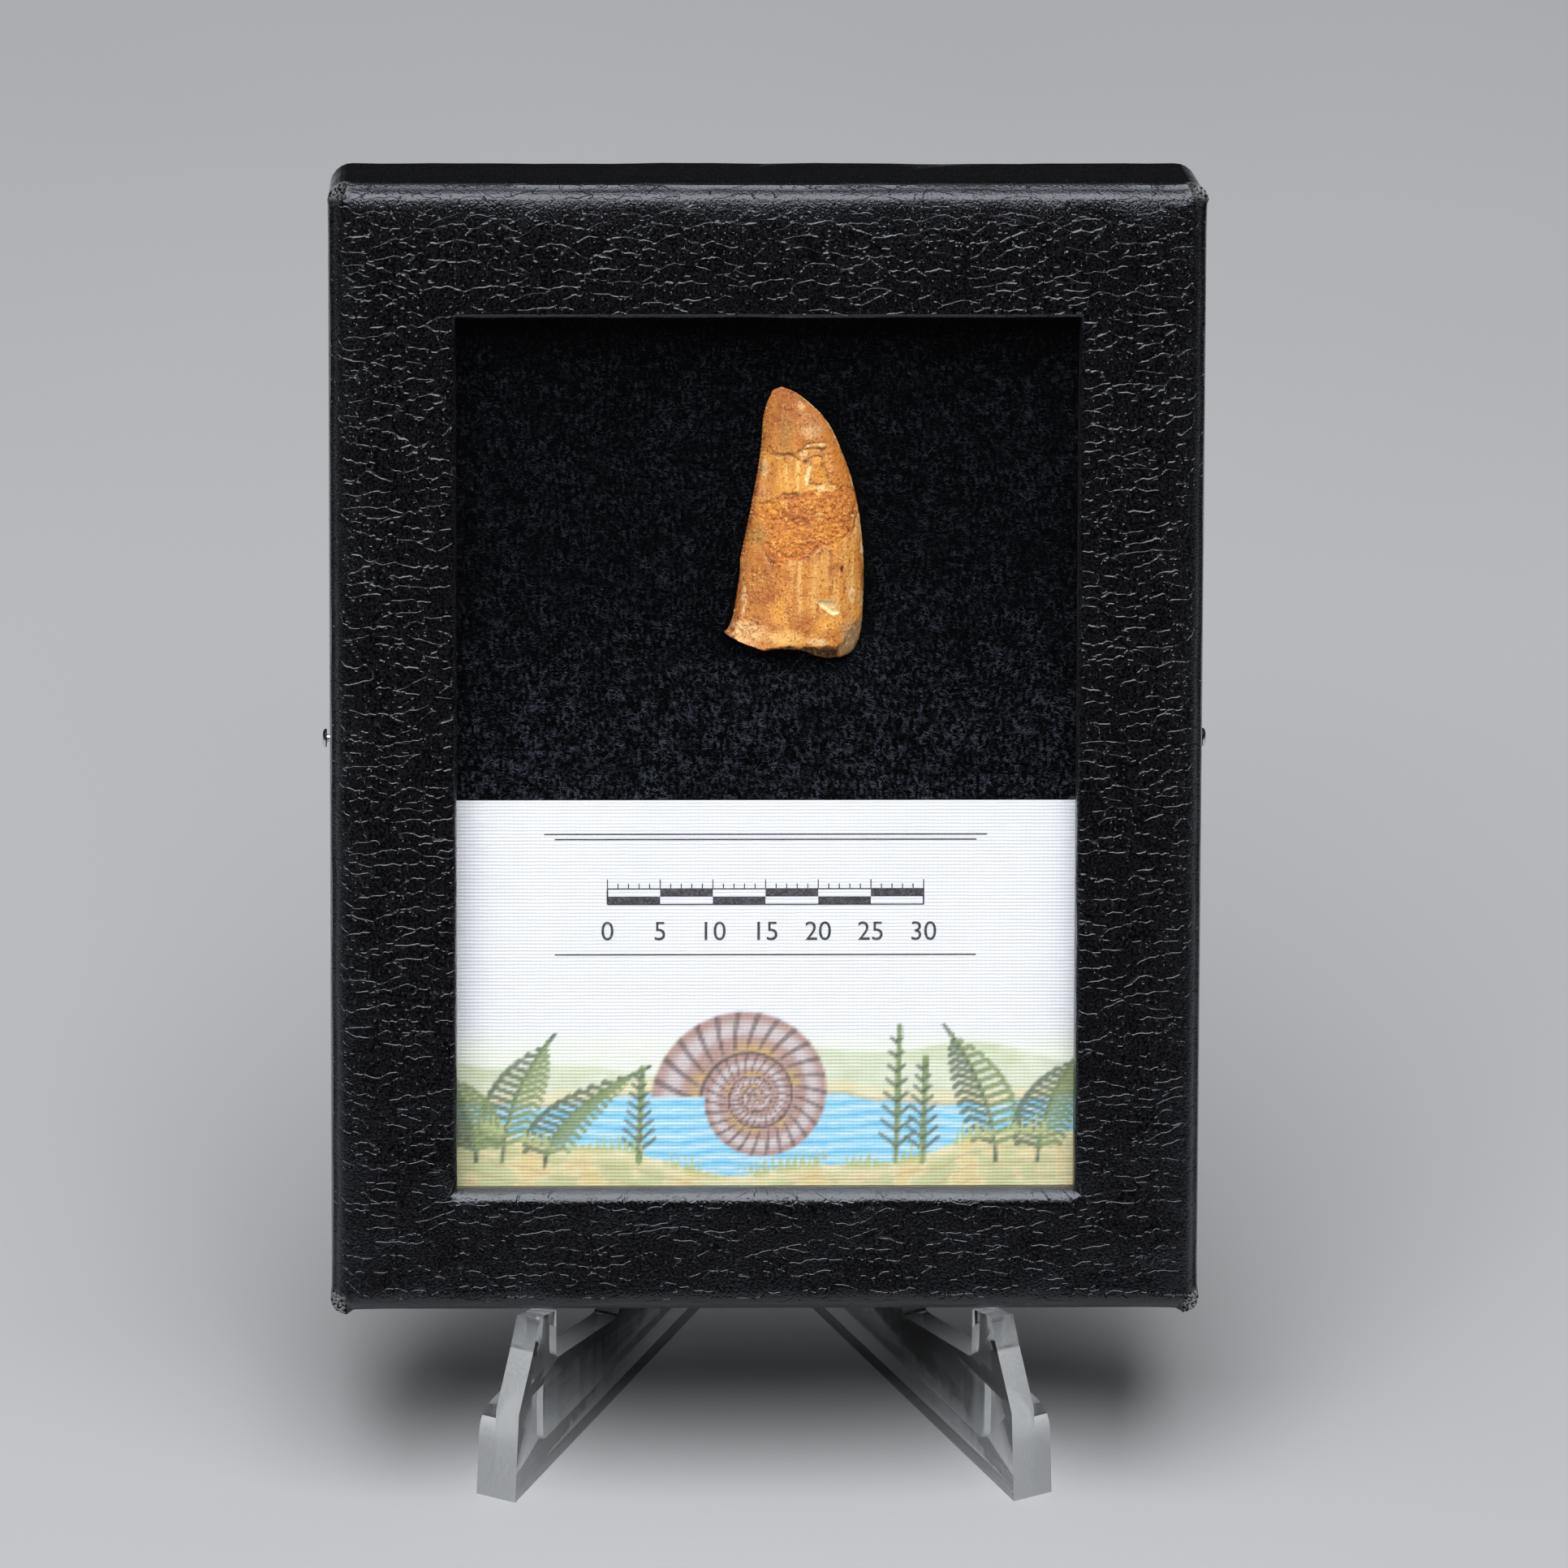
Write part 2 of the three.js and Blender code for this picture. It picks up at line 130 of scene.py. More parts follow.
class Finish:
    """A material of one shader. What is the same all over is set on the shader's own sockets."""

    def __init__(self, name, **fixed):
        self.material = bpy.data.materials.new(name)
        self.material.use_nodes = True
        self.tree = self.material.node_tree
        self.shader = self.tree.nodes["Principled BSDF"]
        for socket, value in fixed.items():
            self.shader.inputs[socket.replace("_", " ")].default_value = value

    def node(self, kind, settings, sockets, output=0):
        """Adds a node: its settings first, then the values or links of its sockets."""
        made = self.tree.nodes.new(kind)
        for name, value in settings.items():
            setattr(made, name, value)
        for name, value in sockets.items():
            if isinstance(value, Value):
                self.tree.links.new(value.socket, made.inputs[name])
            else:
                made.inputs[name].default_value = value
        return Value(self, made.outputs[output])

    def axis(self, vector, name):
        """How far a vector goes along one axis."""
        return self.node("ShaderNodeSeparateXYZ", {}, {0: vector}, name)

    def stored(self, name, output="Fac"):
        """What the piece's mesh holds under a name, as a number or a colour."""
        return self.node("ShaderNodeAttribute", {"attribute_name": name}, {}, output)

    def own(self):
        """The material's own shader, to be mixed with another."""
        return Value(self, self.shader.outputs[0])

    def drive(self, socket, value):
        self.tree.links.new(value.socket, self.shader.inputs[socket])

    def stretched(self, vector, stretch):
        return self.node("ShaderNodeVectorMath", {"operation": "DIVIDE"}, {0: vector, 1: stretch})

    def coordinates(self, place=Matrix(), stretch=(1, 1, 1)):
        """Object coordinates in a piece's own frame, in its millimetres, each axis divided by `stretch`."""
        inverse = place.inverted()
        location, turn, scale = inverse.decompose()
        own = self.node("ShaderNodeTexCoord", {}, {}, "Object")
        sockets = {"Vector": own, "Location": location, "Rotation": turn.to_euler(), "Scale": scale}
        turned = self.node("ShaderNodeMapping", {}, sockets)
        return self.stretched(turned, stretch)

    def grain(self, vector, scale, detail=2.0, output="Fac"):
        sockets = {"Vector": vector, "Scale": scale, "Detail": detail}
        return self.node("ShaderNodeTexNoise", {}, sockets, output)

    def shifted(self, vector, amount, scale):
        """The vector moved about by a soft noise of up to half `amount`."""
        random_way = self.grain(vector, scale, 0.0, "Color")
        centred = self.node("ShaderNodeVectorMath", {"operation": "SUBTRACT"}, {0: random_way, 1: (0.5,) * 3})
        step = self.node("ShaderNodeVectorMath", {"operation": "SCALE"}, {0: centred, "Scale": amount})
        return self.node("ShaderNodeVectorMath", {"operation": "ADD"}, {0: vector, 1: step})

    def mix(self, factor, first, second):
        """A colour between two, each a tuple or another colour."""
        settings = {"data_type": "RGBA", "clamp_factor": True}
        return self.node("ShaderNodeMix", settings, {0: factor, 6: first, 7: second}, 2)

    def relief(self, height):
        """Feeds the shader's normal from a height in millimetres."""
        self.drive("Normal", self.node("ShaderNodeBump", {}, {"Height": height, "Distance": MILLIMETRE}))


def floor_finish():
    finish = Finish("floor", Roughness=0.6, Specular_IOR_Level=0.0)
    cloud = finish.grain(finish.coordinates(), 9.0)
    finish.drive("Base Color", finish.mix(cloud, FLOOR_COLOUR, FLOOR_SHADE))
    return finish


def soft_light(name, place, size, power, colour):
    light = bpy.data.lights.new(name, "AREA")
    light.shape = "RECTANGLE"
    light.size, light.size_y = size
    light.energy = power
    light.color = colour
    holder = added(name, light)
    holder.location = place
    holder.rotation_euler = (Vector(place) - LIGHTS_AIM).to_track_quat("Z", "Y").to_euler()


bm = bmesh.new()
bmesh.ops.create_circle(bm, cap_ends=True, segments=96, radius=FLOOR_SIZE / 2)
floor_mesh = bpy.data.meshes.new("floor")
bm.to_mesh(floor_mesh)
bm.free()
floor_mesh.materials.append(floor_finish().material)
floor = added("floor", floor_mesh)

soft_light("overhead_box", place=(-0.06, -0.28, 0.97), size=(0.95, 1.2), power=20, colour=(0.985, 0.985, 1))
soft_light("back_box", place=(0.1, 1.2, 1.2), size=(0.9, 0.6), power=1, colour=(0.97, 0.98, 1))

# The studio round the floor is dim, and only the camera sees its pale backdrop.
world = bpy.data.worlds.new("studio")
world.use_nodes = True
studio = world.node_tree
dim = studio.nodes["Background"]
dim.inputs["Color"].default_value = STUDIO_DIM
backdrop = studio.nodes.new("ShaderNodeBackground")
backdrop.inputs["Color"].default_value = STUDIO_PALE
seen = studio.nodes.new("ShaderNodeLightPath")
either = studio.nodes.new("ShaderNodeMixShader")
studio.links.new(seen.outputs["Is Camera Ray"], either.inputs[0])
studio.links.new(dim.outputs[0], either.inputs[1])
studio.links.new(backdrop.outputs[0], either.inputs[2])
studio.links.new(either.outputs[0], studio.nodes["World Output"].inputs["Surface"])
bpy.context.scene.world = world
bpy.context.scene.view_settings.view_transform = "Standard"


# ---- Easel ----
# Two plates of clear moulded plastic, slotted together behind the case so that they stand as a V. Each has a
# thicker foot along its outer lower edge, and the case stands on the lips behind the toes.

EASEL_ROUNDING = 0.35 * MILLIMETRE
EASEL_TINT = (0.93, 0.955, 0.965, 1)
ACRYLIC_IOR = 1.49
SAWN_WHITE = (0.56, 0.58, 0.59, 1)
SAWN_TOP, SAWN_CLEAR = 14.3, 14.8  # heights in millimetres between which the sawn edges turn clear


def make_piece(name, bm, finish, node=None, crease=35):
    """Makes a bmesh in the part's frame a piece that rides on it, and stands for `node` if one is given."""
    mesh = bpy.data.meshes.new(name)
    bm.to_mesh(mesh)
    bm.free()
    mesh.materials.append(finish.material)
    mesh.polygons.foreach_set("use_smooth", [True] * len(mesh.polygons))
    mesh.set_sharp_from_angle(angle=math.radians(crease))
    piece = added(name, mesh)
    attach(piece, "root")
    if node:
        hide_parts(node)
    return piece


def with_round_edges(node, rounding, segments=3):
    """A copy of a node's shape with its sharp edges rounded."""
    bm = bmesh.new()
    bm.from_mesh(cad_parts[node].data)
    bmesh.ops.remove_doubles(bm, verts=bm.verts, dist=1e-6)
    bmesh.ops.dissolve_limit(bm, angle_limit=math.radians(1), verts=bm.verts, edges=bm.edges)
    sharp = [edge for edge in bm.edges if edge.calc_face_angle(0) > math.radians(35)]
    bmesh.ops.bevel(
        bm, geom=sharp, offset=rounding, segments=segments, affect="EDGES", profile=0.5, material=-1,
        clamp_overlap=True,
    )
    return bm


def let_lamps_through(finish, shown):
    """Lamps shine through the clear material, so that what is behind it is lit."""
    lamp_ray = finish.node("ShaderNodeLightPath", {}, {}, "Is Shadow Ray")
    clear = finish.node("ShaderNodeBsdfTransparent", {}, {})
    surface = finish.node("ShaderNodeMixShader", {}, {0: lamp_ray, 1: shown, 2: clear})
    finish.tree.links.new(surface.socket, finish.tree.nodes["Material Output"].inputs["Surface"])


def mark_cut_edges(bm):
    """Marks the faces across a plate's thickness, which a saw has left dull."""
    largest = max(bm.faces, key=lambda face: face.calc_area())
    across = largest.normal.copy()
    cut = bm.faces.layers.float.new("cut")
    for face in bm.faces:
        face[cut] = 1.0 if abs(face.normal.dot(across)) < 0.3 and abs(face.normal.z) < 0.8 else 0.0


def clear_plastic():
    finish = Finish("clear_plastic", Base_Color=EASEL_TINT, Transmission_Weight=1.0, IOR=ACRYLIC_IOR)
    place = finish.coordinates(Matrix.Scale(MILLIMETRE, 4))
    flow = finish.grain(finish.stretched(place, (1, 1, 6)), 0.35, 1.0)
    haze = finish.grain(finish.stretched(place, (1, 1, 3)), 0.8, 4.0).between(0.5, 0.75)
    cut = finish.stored("cut") * finish.axis(place, "Z").between(SAWN_CLEAR, SAWN_TOP)
    scored = finish.grain(finish.stretched(place, (1, 1, 4)), 6.0, 3.0)
    finish.drive("Roughness", 0.03 + 0.16 * haze + 0.45 * cut)
    finish.relief(0.03 * flow + 0.008 * cut * scored)
    sawn = finish.node("ShaderNodeBsdfDiffuse", {}, {"Color": SAWN_WHITE})
    clouded = cut * (0.4 + 0.4 * scored)
    surface = finish.node("ShaderNodeMixShader", {}, {0: clouded, 1: finish.own(), 2: sawn})
    let_lamps_through(finish, surface)
    return finish


plastic = clear_plastic()
for half in ("stand_left_half", "stand_right_half"):
    bm = with_round_edges(half, EASEL_ROUNDING)
    mark_cut_edges(bm)
    make_piece(half + "_plate", bm, plastic, half)


# ---- Tray ----
# A shallow black box of paper-covered board. It slides into the lid from behind, so only its flat back shows.

CASE_LEAN = math.radians(17.5)
CASE_WIDTH, CASE_HEIGHT = 82.55, 107.95
GAP = 0.3
LID_BOARD = 2.4
TRAY_INSET = 1.9
PANE_FRONT = LID_BOARD + GAP
PANE_BACK = 4.2
BOARD_COLOUR, BOARD_RUB = (0.018, 0.018, 0.02, 1), (0.045, 0.043, 0.042, 1)
BOARD_ROUNDING = 0.3 * MILLIMETRE

# The case's own frame, in millimetres: x across, y back from its face, z up its face. The pane's box places it.
pane_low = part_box("glass_pane")[0]
foot_back = pane_low[1] - MILLIMETRE * (PANE_FRONT * math.cos(CASE_LEAN) + TRAY_INSET * math.sin(CASE_LEAN))
foot_height = pane_low[2] + MILLIMETRE * (PANE_BACK * math.sin(CASE_LEAN) - TRAY_INSET * math.cos(CASE_LEAN))
case_place = (
    Matrix.Translation((0, foot_back, foot_height))
    @ Matrix.Rotation(-CASE_LEAN, 4, "X")
    @ Matrix.Scale(MILLIMETRE, 4)
)


def covered_board():
    finish = Finish("covered_board")
    place = finish.coordinates(case_place)
    pulp = finish.grain(place, 6.0, 4.0)
    rub = finish.grain(place, 0.12, 5.0).between(0.5, 0.75)
    finish.drive("Base Color", finish.mix(rub * pulp, BOARD_COLOUR, BOARD_RUB))
    finish.drive("Roughness", 0.62 + 0.2 * pulp)
    finish.relief(0.03 * pulp + 0.12 * finish.grain(place, 0.35))
    return finish


make_piece("tray_box", with_round_edges("tray", BOARD_ROUNDING, 2), covered_board(), "tray")


# ---- Tooth ----
# A fossil crown of orange and tan enamel, with one nearly straight, serrated edge and one curved one. A field
# is broken out below the tip, a belt of gritty matrix clings to the middle, and the base is snapped off.

TOOTH_X, TOOTH_Z, TOOTH_LENGTH = 2.7, 62.2, 26
TOOTH_FRONT = PANE_BACK + GAP + 0.1
TOOTH_THICKNESS = 5.6
TIP_SET_BACK = 1.0
LENS_POWER, BASE_FULLNESS = 1.24, 0.6
TOOTH_AROUND, TOOTH_ALONG = 260, 300
BASE_SHARE = 0.13  # of the rows from pole to pole, those that cover the broken base
DENTICLE_PITCH, DENTICLE_HEIGHT = 0.36, 0.09
STAIN_WARMTH = np.array((1.03, 0.98, 0.8))
STAIN_DEPTH = 0.84  # how much of the stains' lightness the skin keeps below the tip

# Edges, cracks and borders as (across, up) from the middle of the base, in millimetres.
STRAIGHT_EDGE = [
    (-6.7, 2.4), (-6.1, 4.4), (-5.1, 9.5), (-4.1, 14.5), (-3.2, 20),
    (-2.85, 23.7), (-2.4, 25.1), (-1.95, 25.75), (-1.3, 26),
]
CURVED_EDGE = [
    (4.9, 0.2), (5.9, 2.4), (6.55, 7.5), (6.3, 12.3), (4.7, 19),
    (2.1, 23.7), (0.86, 24.8), (-0.3, 25.6), (-1.3, 26),
]
BROKEN_BASE = [
    (-6.7, 2.4), (-4.6, 1.5), (-2.9, 0.9), (-1.5, 1.1), (0.5, 1), (1.8, 0.4), (3.1, 0), (4.9, 0.2),
]
FRONT_RIM = [
    (-6.8, 2.6), (-5.9, 2.0), (-4.5, 1.55), (-3.1, 1.0), (-2.3, 1.1), (-0.6, 1.5), (0.4, 1.3), (1.35, 1.4),
    (2.3, 1.2), (3.3, 1.4), (3.9, 1.2), (4.55, 1.75), (5.1, 2.7), (5.9, 3.7),
]
UPPER_LEDGE = [
    (-4, 20), (-3.1, 20.1), (-2.2, 19.7), (-0.8, 19.6), (0.3, 19.8), (1.2, 20.2), (3, 20.2), (6, 19.4),
]
LOWER_LEDGE = [
    (-4.5, 14.6), (-3.1, 14.8), (-2.3, 15.15), (-1.7, 15.45), (-1.1, 15.8),
    (0.3, 15.9), (1.4, 16.3), (2.6, 16.6), (3.4, 16.8), (6.5, 16.2),
]
BELT_END = [
    (-5.4, 10.4), (-4.2, 10.6), (-3, 10.4), (-2.4, 9.3), (-1.8, 8.8), (-0.6, 9.6), (0.4, 9.5), (1.7, 10.3),
    (2.7, 11.2), (4.1, 10.5), (4.6, 11.6), (5.3, 12), (5.9, 13.8), (6.5, 14.2),
]
# Cracks and stain lines: their path, width, depth, colour and strength.
LINES = [
    ([(0.7, 20.3), (1.15, 20.6), (2.1, 20.7), (2.95, 20.66)], 0.16, 0.1, "umber", 0.9),
    ([(0.3, 19.85), (0.7, 20.06), (1.15, 20.15), (2.8, 20.15)], 0.14, 0.1, "umber", 0.8),
    ([(-1.8, 19.4), (-0.75, 19.6), (-0.2, 19.5), (0.35, 19.1)], 0.34, 0.12, "umber", 0.7),
    ([(-3.2, 20.1), (-2.3, 20.25), (-1.8, 19.5)], 0.14, 0.06, "rust", 0.8),
    ([(0.85, 18.8), (1.3, 18.85)], 0.36, 0.1, "umber", 0.85),
    ([(0.85, 18.9), (1.57, 19.3), (1.86, 19.47), (2.25, 19.47), (2.55, 19.35), (2.74, 18.5), (3.1, 17.6),
      (3.17, 16.9)], 0.12, 0.12, "umber", 0.85),
    ([(1.9, 16.7), (2.85, 16.85)], 0.13, 0.1, "umber", 0.85),
    ([(-3.9, 14.75), (-3.1, 14.82), (-2.3, 15.15), (-1.7, 15.43), (-1.15, 15.76), (0.3, 15.88)], 0.18, 0.14,
     "umber", 0.85),
    ([(-1, 15.35), (-0.3, 15.45)], 0.12, 0.1, "umber", 0.8),
    ([(-2.8, 10.4), (-2.5, 9.7), (-2, 8.9)], 0.16, 0.1, "umber", 0.75),
    ([(0.45, 9.5), (1.7, 10.35), (2.7, 11.2)], 0.3, 0.06, "rust", 0.85),
    ([(5.85, 13.8), (5.6, 12.6), (5.3, 11.9)], 0.14, 0.08, "umber", 0.7),
    ([(0.16, 10.2), (0.1, 7), (-0.02, 4.5)], 0.17, 0.07, "rust", 0.85),
    ([(1.25, 9.6), (1.25, 7.7)], 0.08, 0.04, "rust", 0.6),
    ([(3.4, 10.4), (3.42, 8.6)], 0.42, 0.04, "rust", 0.75),
    ([(3.42, 8.8), (3.5, 6.3)], 0.2, 0.05, "rust", 0.8),
    ([(4.5, 10), (4.62, 7.4), (4.8, 5.4)], 0.14, 0.06, "rust", 0.8),
    ([(4.55, 8.95), (4.57, 8.45)], 0.16, 0.12, "marrow", 0.9),
    ([(5.15, 9.5), (5.2, 4.6)], 0.07, 0.03, "rust", 0.5),
    ([(2.3, 10.5), (2.35, 8.4)], 0.06, 0.03, "rust", 0.5),
    ([(-2.5, 6.9), (-2, 6.2), (-1.9, 5.4)], 0.16, 0.05, "rust", 0.8),
    ([(-5.1, 7.7), (-4.75, 6.6), (-4.7, 5.4), (-4.9, 4.2)], 0.3, -0.06, "bone", 0.75),
    ([(-5.35, 3.85), (-5.6, 3.5)], 0.26, 0.2, "marrow", 0.9),
    ([(1.38, 18.45), (1.05, 16.85)], 0.5, -0.05, "white", 0.95),
    ([(0.34, 18.9), (0.17, 16.3)], 0.36, -0.03, "cream", 0.9),
    ([(-0.82, 18.6), (-0.85, 16.4)], 0.5, -0.02, "cream", 0.6),
    ([(6.2, 12.6), (6.42, 10.2)], 0.3, -0.03, "bone", 0.95),
]
# Stained places: across, up, half width, half height, colour and strength.
PLACES = [
    (-0.8, 24.7, 1.3, 1.5, "rust", 0.7), (0.53, 24.1, 0.42, 0.5, "bone", 0.75),
    (-2.4, 22.4, 0.5, 2.4, "rust", 0.5), (-0.95, 21.7, 0.75, 2.3, "olive", 0.55),
    (0.45, 21, 0.6, 1.1, "ochre", 0.85), (1.5, 21.7, 1.2, 0.75, "bone", 0.5),
    (-1.7, 23.1, 0.5, 0.5, "rust", 0.7), (2.9, 21.2, 1.2, 1, "ochre", 0.5),
    (1.2, 23.0, 1.3, 0.7, "pink", 0.4), (1.25, 20.33, 0.2, 0.17, "white", 0.9),
    (1.87, 20.45, 0.22, 0.18, "cream", 0.9), (2.5, 20.45, 0.42, 0.18, "white", 0.8),
    (0.77, 19.6, 0.36, 0.5, "bone", 0.95), (-2.95, 18.1, 0.42, 1.1, "bone", 0.9),
    (-2.2, 17.7, 0.6, 0.9, "rust", 0.45), (-3.1, 16.1, 0.8, 1, "pink", 0.75),
    (-0.4, 17.2, 1.6, 1.6, "yellow", 0.5), (2.2, 19.0, 0.5, 0.5, "yellow", 0.95),
    (2.3, 17.7, 0.75, 1, "gold", 0.85), (2.45, 16.35, 0.42, 0.34, "white", 1),
    (3.3, 16.3, 0.7, 0.4, "cream", 0.7), (1.6, 16.4, 0.5, 0.25, "cream", 0.7),
    (4.3, 17.8, 1.1, 2.4, "ochre", 0.55), (-2.4, 14.5, 1.6, 0.6, "gold", 0.85),
    (-1.05, 14.9, 0.4, 0.2, "cream", 0.85), (-0.1, 13.9, 1.7, 0.85, "rust", 0.7),
    (2.3, 13.8, 0.4, 0.5, "cream", 0.6), (3.2, 14.4, 0.4, 0.5, "yellow", 0.55),
    (2.6, 12.6, 1.2, 0.9, "gold", 0.55), (-0.7, 11.6, 1.3, 0.8, "gold", 0.4),
    (3.8, 11, 0.4, 0.4, "yellow", 0.8), (5.2, 13.0, 0.6, 1, "rust", 0.6),
    (-3.6, 11.8, 1.3, 1.2, "olive", 0.85), (-4.1, 13.2, 0.25, 0.5, "bone", 0.7),
    (-2.1, 9.7, 0.5, 0.8, "rust", 0.8), (-3.1, 8.5, 1.2, 0.8, "rust", 0.75),
    (-4.6, 8.8, 0.7, 1, "pink", 0.4), (-3.2, 6, 1.3, 1.1, "rust", 0.65),
    (0.85, 3.5, 1.6, 1.35, "rust", 0.75), (-1.6, 4.7, 1, 1.4, "yellow", 0.6),
    (2.9, 3.4, 1.4, 0.7, "yellow", 0.6), (-4.8, 6, 0.4, 0.9, "bone", 0.7),
    (-5.9, 6.5, 0.4, 1.8, "rust", 0.5), (6.3, 8.2, 0.45, 1.8, "rust", 0.6),
    (-4.6, 2.6, 2.2, 1.3, "bone", 0.6), (-5.6, 3, 1, 0.7, "bone", 0.6),
    (-0.9, 2.2, 2, 0.9, "cream", 0.75), (2.2, 1.75, 1.2, 0.4, "bone", 0.85),
    (3.95, 2.1, 0.4, 0.6, "ochre", 0.8), (5.2, 2.4, 1, 1.5, "grey", 0.85),
]
CHIP = [
    (2.1, 5.6), (2.5, 5.74), (3.4, 5.66), (3.9, 5.1), (4.1, 4.5),
    (3.7, 4.34), (3.3, 4.55), (2.6, 5.12), (2.1, 5.6),
]
CHIP_STEP = [(2.5, 5.5), (3.3, 5.0), (3.75, 5.1), (4.1, 4.6)]
PALE_RING = (5.42, 6.1, 0.25, 0.55)  # across, up, half width, half height
ENAMEL_TONES = {
    "enamel": "cf8f46", "warm": "c27a2c", "rust": "9f541c", "umber": "5f3010", "ochre": "be6c20",
    "gold": "df9630", "yellow": "eaaa4c", "cream": "f0c67e", "white": "fde8b8", "pink": "cf9068",
    "bone": "e8c69c", "grey": "a68a6e", "olive": "9c7036", "marrow": "3e2412",
}


def screen_colour(code):
    """A colour written as the six digits of its screen value, as linear red, green and blue."""
    shares = np.array([int(code[i : i + 2], 16) for i in (0, 2, 4)]) / 255
    return np.where(shares < 0.04045, shares / 12.92, ((shares + 0.055) / 1.055) ** 2.4)


def through(points, at):
    """Values on the smooth curve through (place, value) pairs sorted by place."""
    places, values = np.array(points).T
    slopes = np.gradient(values, places)
    i = np.clip(np.searchsorted(places, at) - 1, 0, len(places) - 2)
    step = places[i + 1] - places[i]
    s = np.clip((at - places[i]) / step, 0, 1)
    rise = (2 * s**3 - 3 * s**2 + 1) * values[i] + (3 * s**2 - 2 * s**3) * values[i + 1]
    return rise + step * ((s**3 - 2 * s**2 + s) * slopes[i] + (s**3 - s**2) * slopes[i + 1])


def edge_across(edge, up):
    return through([(z, x) for x, z in edge], up)


def line_up(line, across):
    return np.interp(across, *np.array(line).T)


def ramp(values, low, high):
    """0 below `low`, 1 above `high` and smooth between them; the other way round if low is above high."""
    s = np.clip((values - low) / (high - low), 0, 1)
    return s * s * (3 - 2 * s)


def grain_at(points, size, octaves=1):
    """Smooth random values of about -1 to 1 at many points, varying over lengths of `size`."""
    return np.array([noise.fractal(Vector(p) / size, 0.8, 2.1, octaves) for p in points])


def spot(x, z, cx, cz, rx, rz):
    """1 in the middle of an oval spot and 0 outside it."""
    return 1 - ramp(np.hypot((x - cx) / rx, (z - cz) / rz), 0.5, 1.15)


def path_reach(x, z, points):
    """Distance of places from a path of straight strokes."""
    nearest = np.full(x.shape, 1e9)
    for (ax, az), (bx, bz) in zip(points, points[1:]):
        run, rise = bx - ax, bz - az
        s = np.clip(((x - ax) * run + (z - az) * rise) / (run * run + rise * rise + 1e-9), 0, 1)
        nearest = np.minimum(nearest, np.hypot(x - ax - s * run, z - az - s * rise))
    return nearest


def inside_outline(x, z, points):
    crossings = np.zeros(x.shape, bool)
    for (ax, az), (bx, bz) in zip(points, points[1:]):
        spans = (az > z) != (bz > z)
        crossings ^= spans & (x < ax + (z - az) * (bx - ax) / (bz - az + 1e-12))
    return crossings


class Paint:
    """A colour for each of many places, laid on in coats from a palette of screen colours."""

    def __init__(self, tones, ground, count):
        self.tones = {name: screen_colour(code) for name, code in tones.items()}
        self.colour = np.tile(self.tones[ground], (count, 1))

    def lay(self, tone, strength):
        self.colour = self.colour + (self.tones[tone] - self.colour) * np.clip(strength, 0, 1)[:, None]


def tooth_half(t):
    return (TOOTH_THICKNESS / 2) * (0.22 + 0.78 * (1 - t**1.6)) * np.sqrt(1 - t**9)


def tooth_middle(t):
    return TOOTH_FRONT + tooth_half(t) + TIP_SET_BACK * t * t


bm = bmesh.new()
bmesh.ops.create_uvsphere(bm, u_segments=TOOTH_AROUND, v_segments=TOOTH_ALONG, radius=1)
ball = np.array([v.co for v in bm.verts])
rows = np.arccos(np.clip(-ball[:, 2], -1, 1)) / math.pi
turn = np.arctan2(ball[:, 1], ball[:, 0])
t = np.clip((rows - BASE_SHARE) / (1 - BASE_SHARE), 0, 1)
on_base = rows < BASE_SHARE
radial = np.where(on_base, rows / BASE_SHARE, 1)
share = (1 - np.cos(turn)) / 2
bulge = np.sign(np.sin(turn)) * np.abs(np.sin(turn)) ** (LENS_POWER - BASE_FULLNESS * (1 - t) ** 4)
front = (bulge > 0) & ~on_base

straight_up = STRAIGHT_EDGE[0][1] + t * (TOOTH_LENGTH - STRAIGHT_EDGE[0][1])
curved_up = CURVED_EDGE[0][1] + t * (TOOTH_LENGTH - CURVED_EDGE[0][1])
x0, x1 = edge_across(STRAIGHT_EDGE, straight_up), edge_across(CURVED_EDGE, curved_up)
x = x0 + (x1 - x0) * share
z = straight_up + (curved_up - straight_up) * share
base_break = line_up(BROKEN_BASE, x) - (straight_up + (curved_up - straight_up) * share)
z = z + np.where(t < 0.3, base_break * (1 - t) ** 6, 0)
half, middle = tooth_half(np.minimum(t, 0.9999)), tooth_middle(np.minimum(t, 0.9999))
y = middle - half * bulge

# Random values at each place of the skin, and places moved about by them so that no border is smooth.
skin = np.stack([x, 0.5 * y, z], axis=1)
fine, coarse = grain_at(skin, 0.3, 2), grain_at(skin + 31, 1.1, 3)
grit, lump = grain_at(skin + 71, 0.17, 1), grain_at(skin + 83, 0.6, 2)
broad = grain_at(skin + 57, 3.5, 2)
upright = grain_at(skin * (1, 1, 0.12) + 11, 0.45, 2)
xw, zw = x + 0.14 * coarse + 0.06 * fine, z + 0.14 * coarse - 0.06 * fine

ledge_z, belt_z, end_z = (line_up(line, x) for line in (UPPER_LEDGE, LOWER_LEDGE, BELT_END))
broken = ramp(zw, ledge_z + 0.05, ledge_z - 0.1) * ramp(zw, belt_z - 0.07, belt_z + 0.07) * ramp(xw, 3.5, 3)
belt = ramp(zw, belt_z + 0.07, belt_z - 0.07) * ramp(zw, end_z - 0.12, end_z + 0.12)
smooth_left = ramp(xw, -2.3, -3) * ramp(zw, 13.8, 13.2)
belt = belt * (1 - 0.9 * smooth_left)
lower = ramp(zw, end_z + 0.12, end_z - 0.12)
cluster = spot(xw, zw, -3.1, 8.5, 1.3, 0.9)
gritty = np.clip(belt * (0.55 + 0.45 * ramp(coarse, -0.4, 0.3)) + 0.7 * cluster, 0, 1)
gritty = np.maximum(gritty, 0.8 * spot(xw, zw, -4.8, 3.0, 2.2, 1.9))
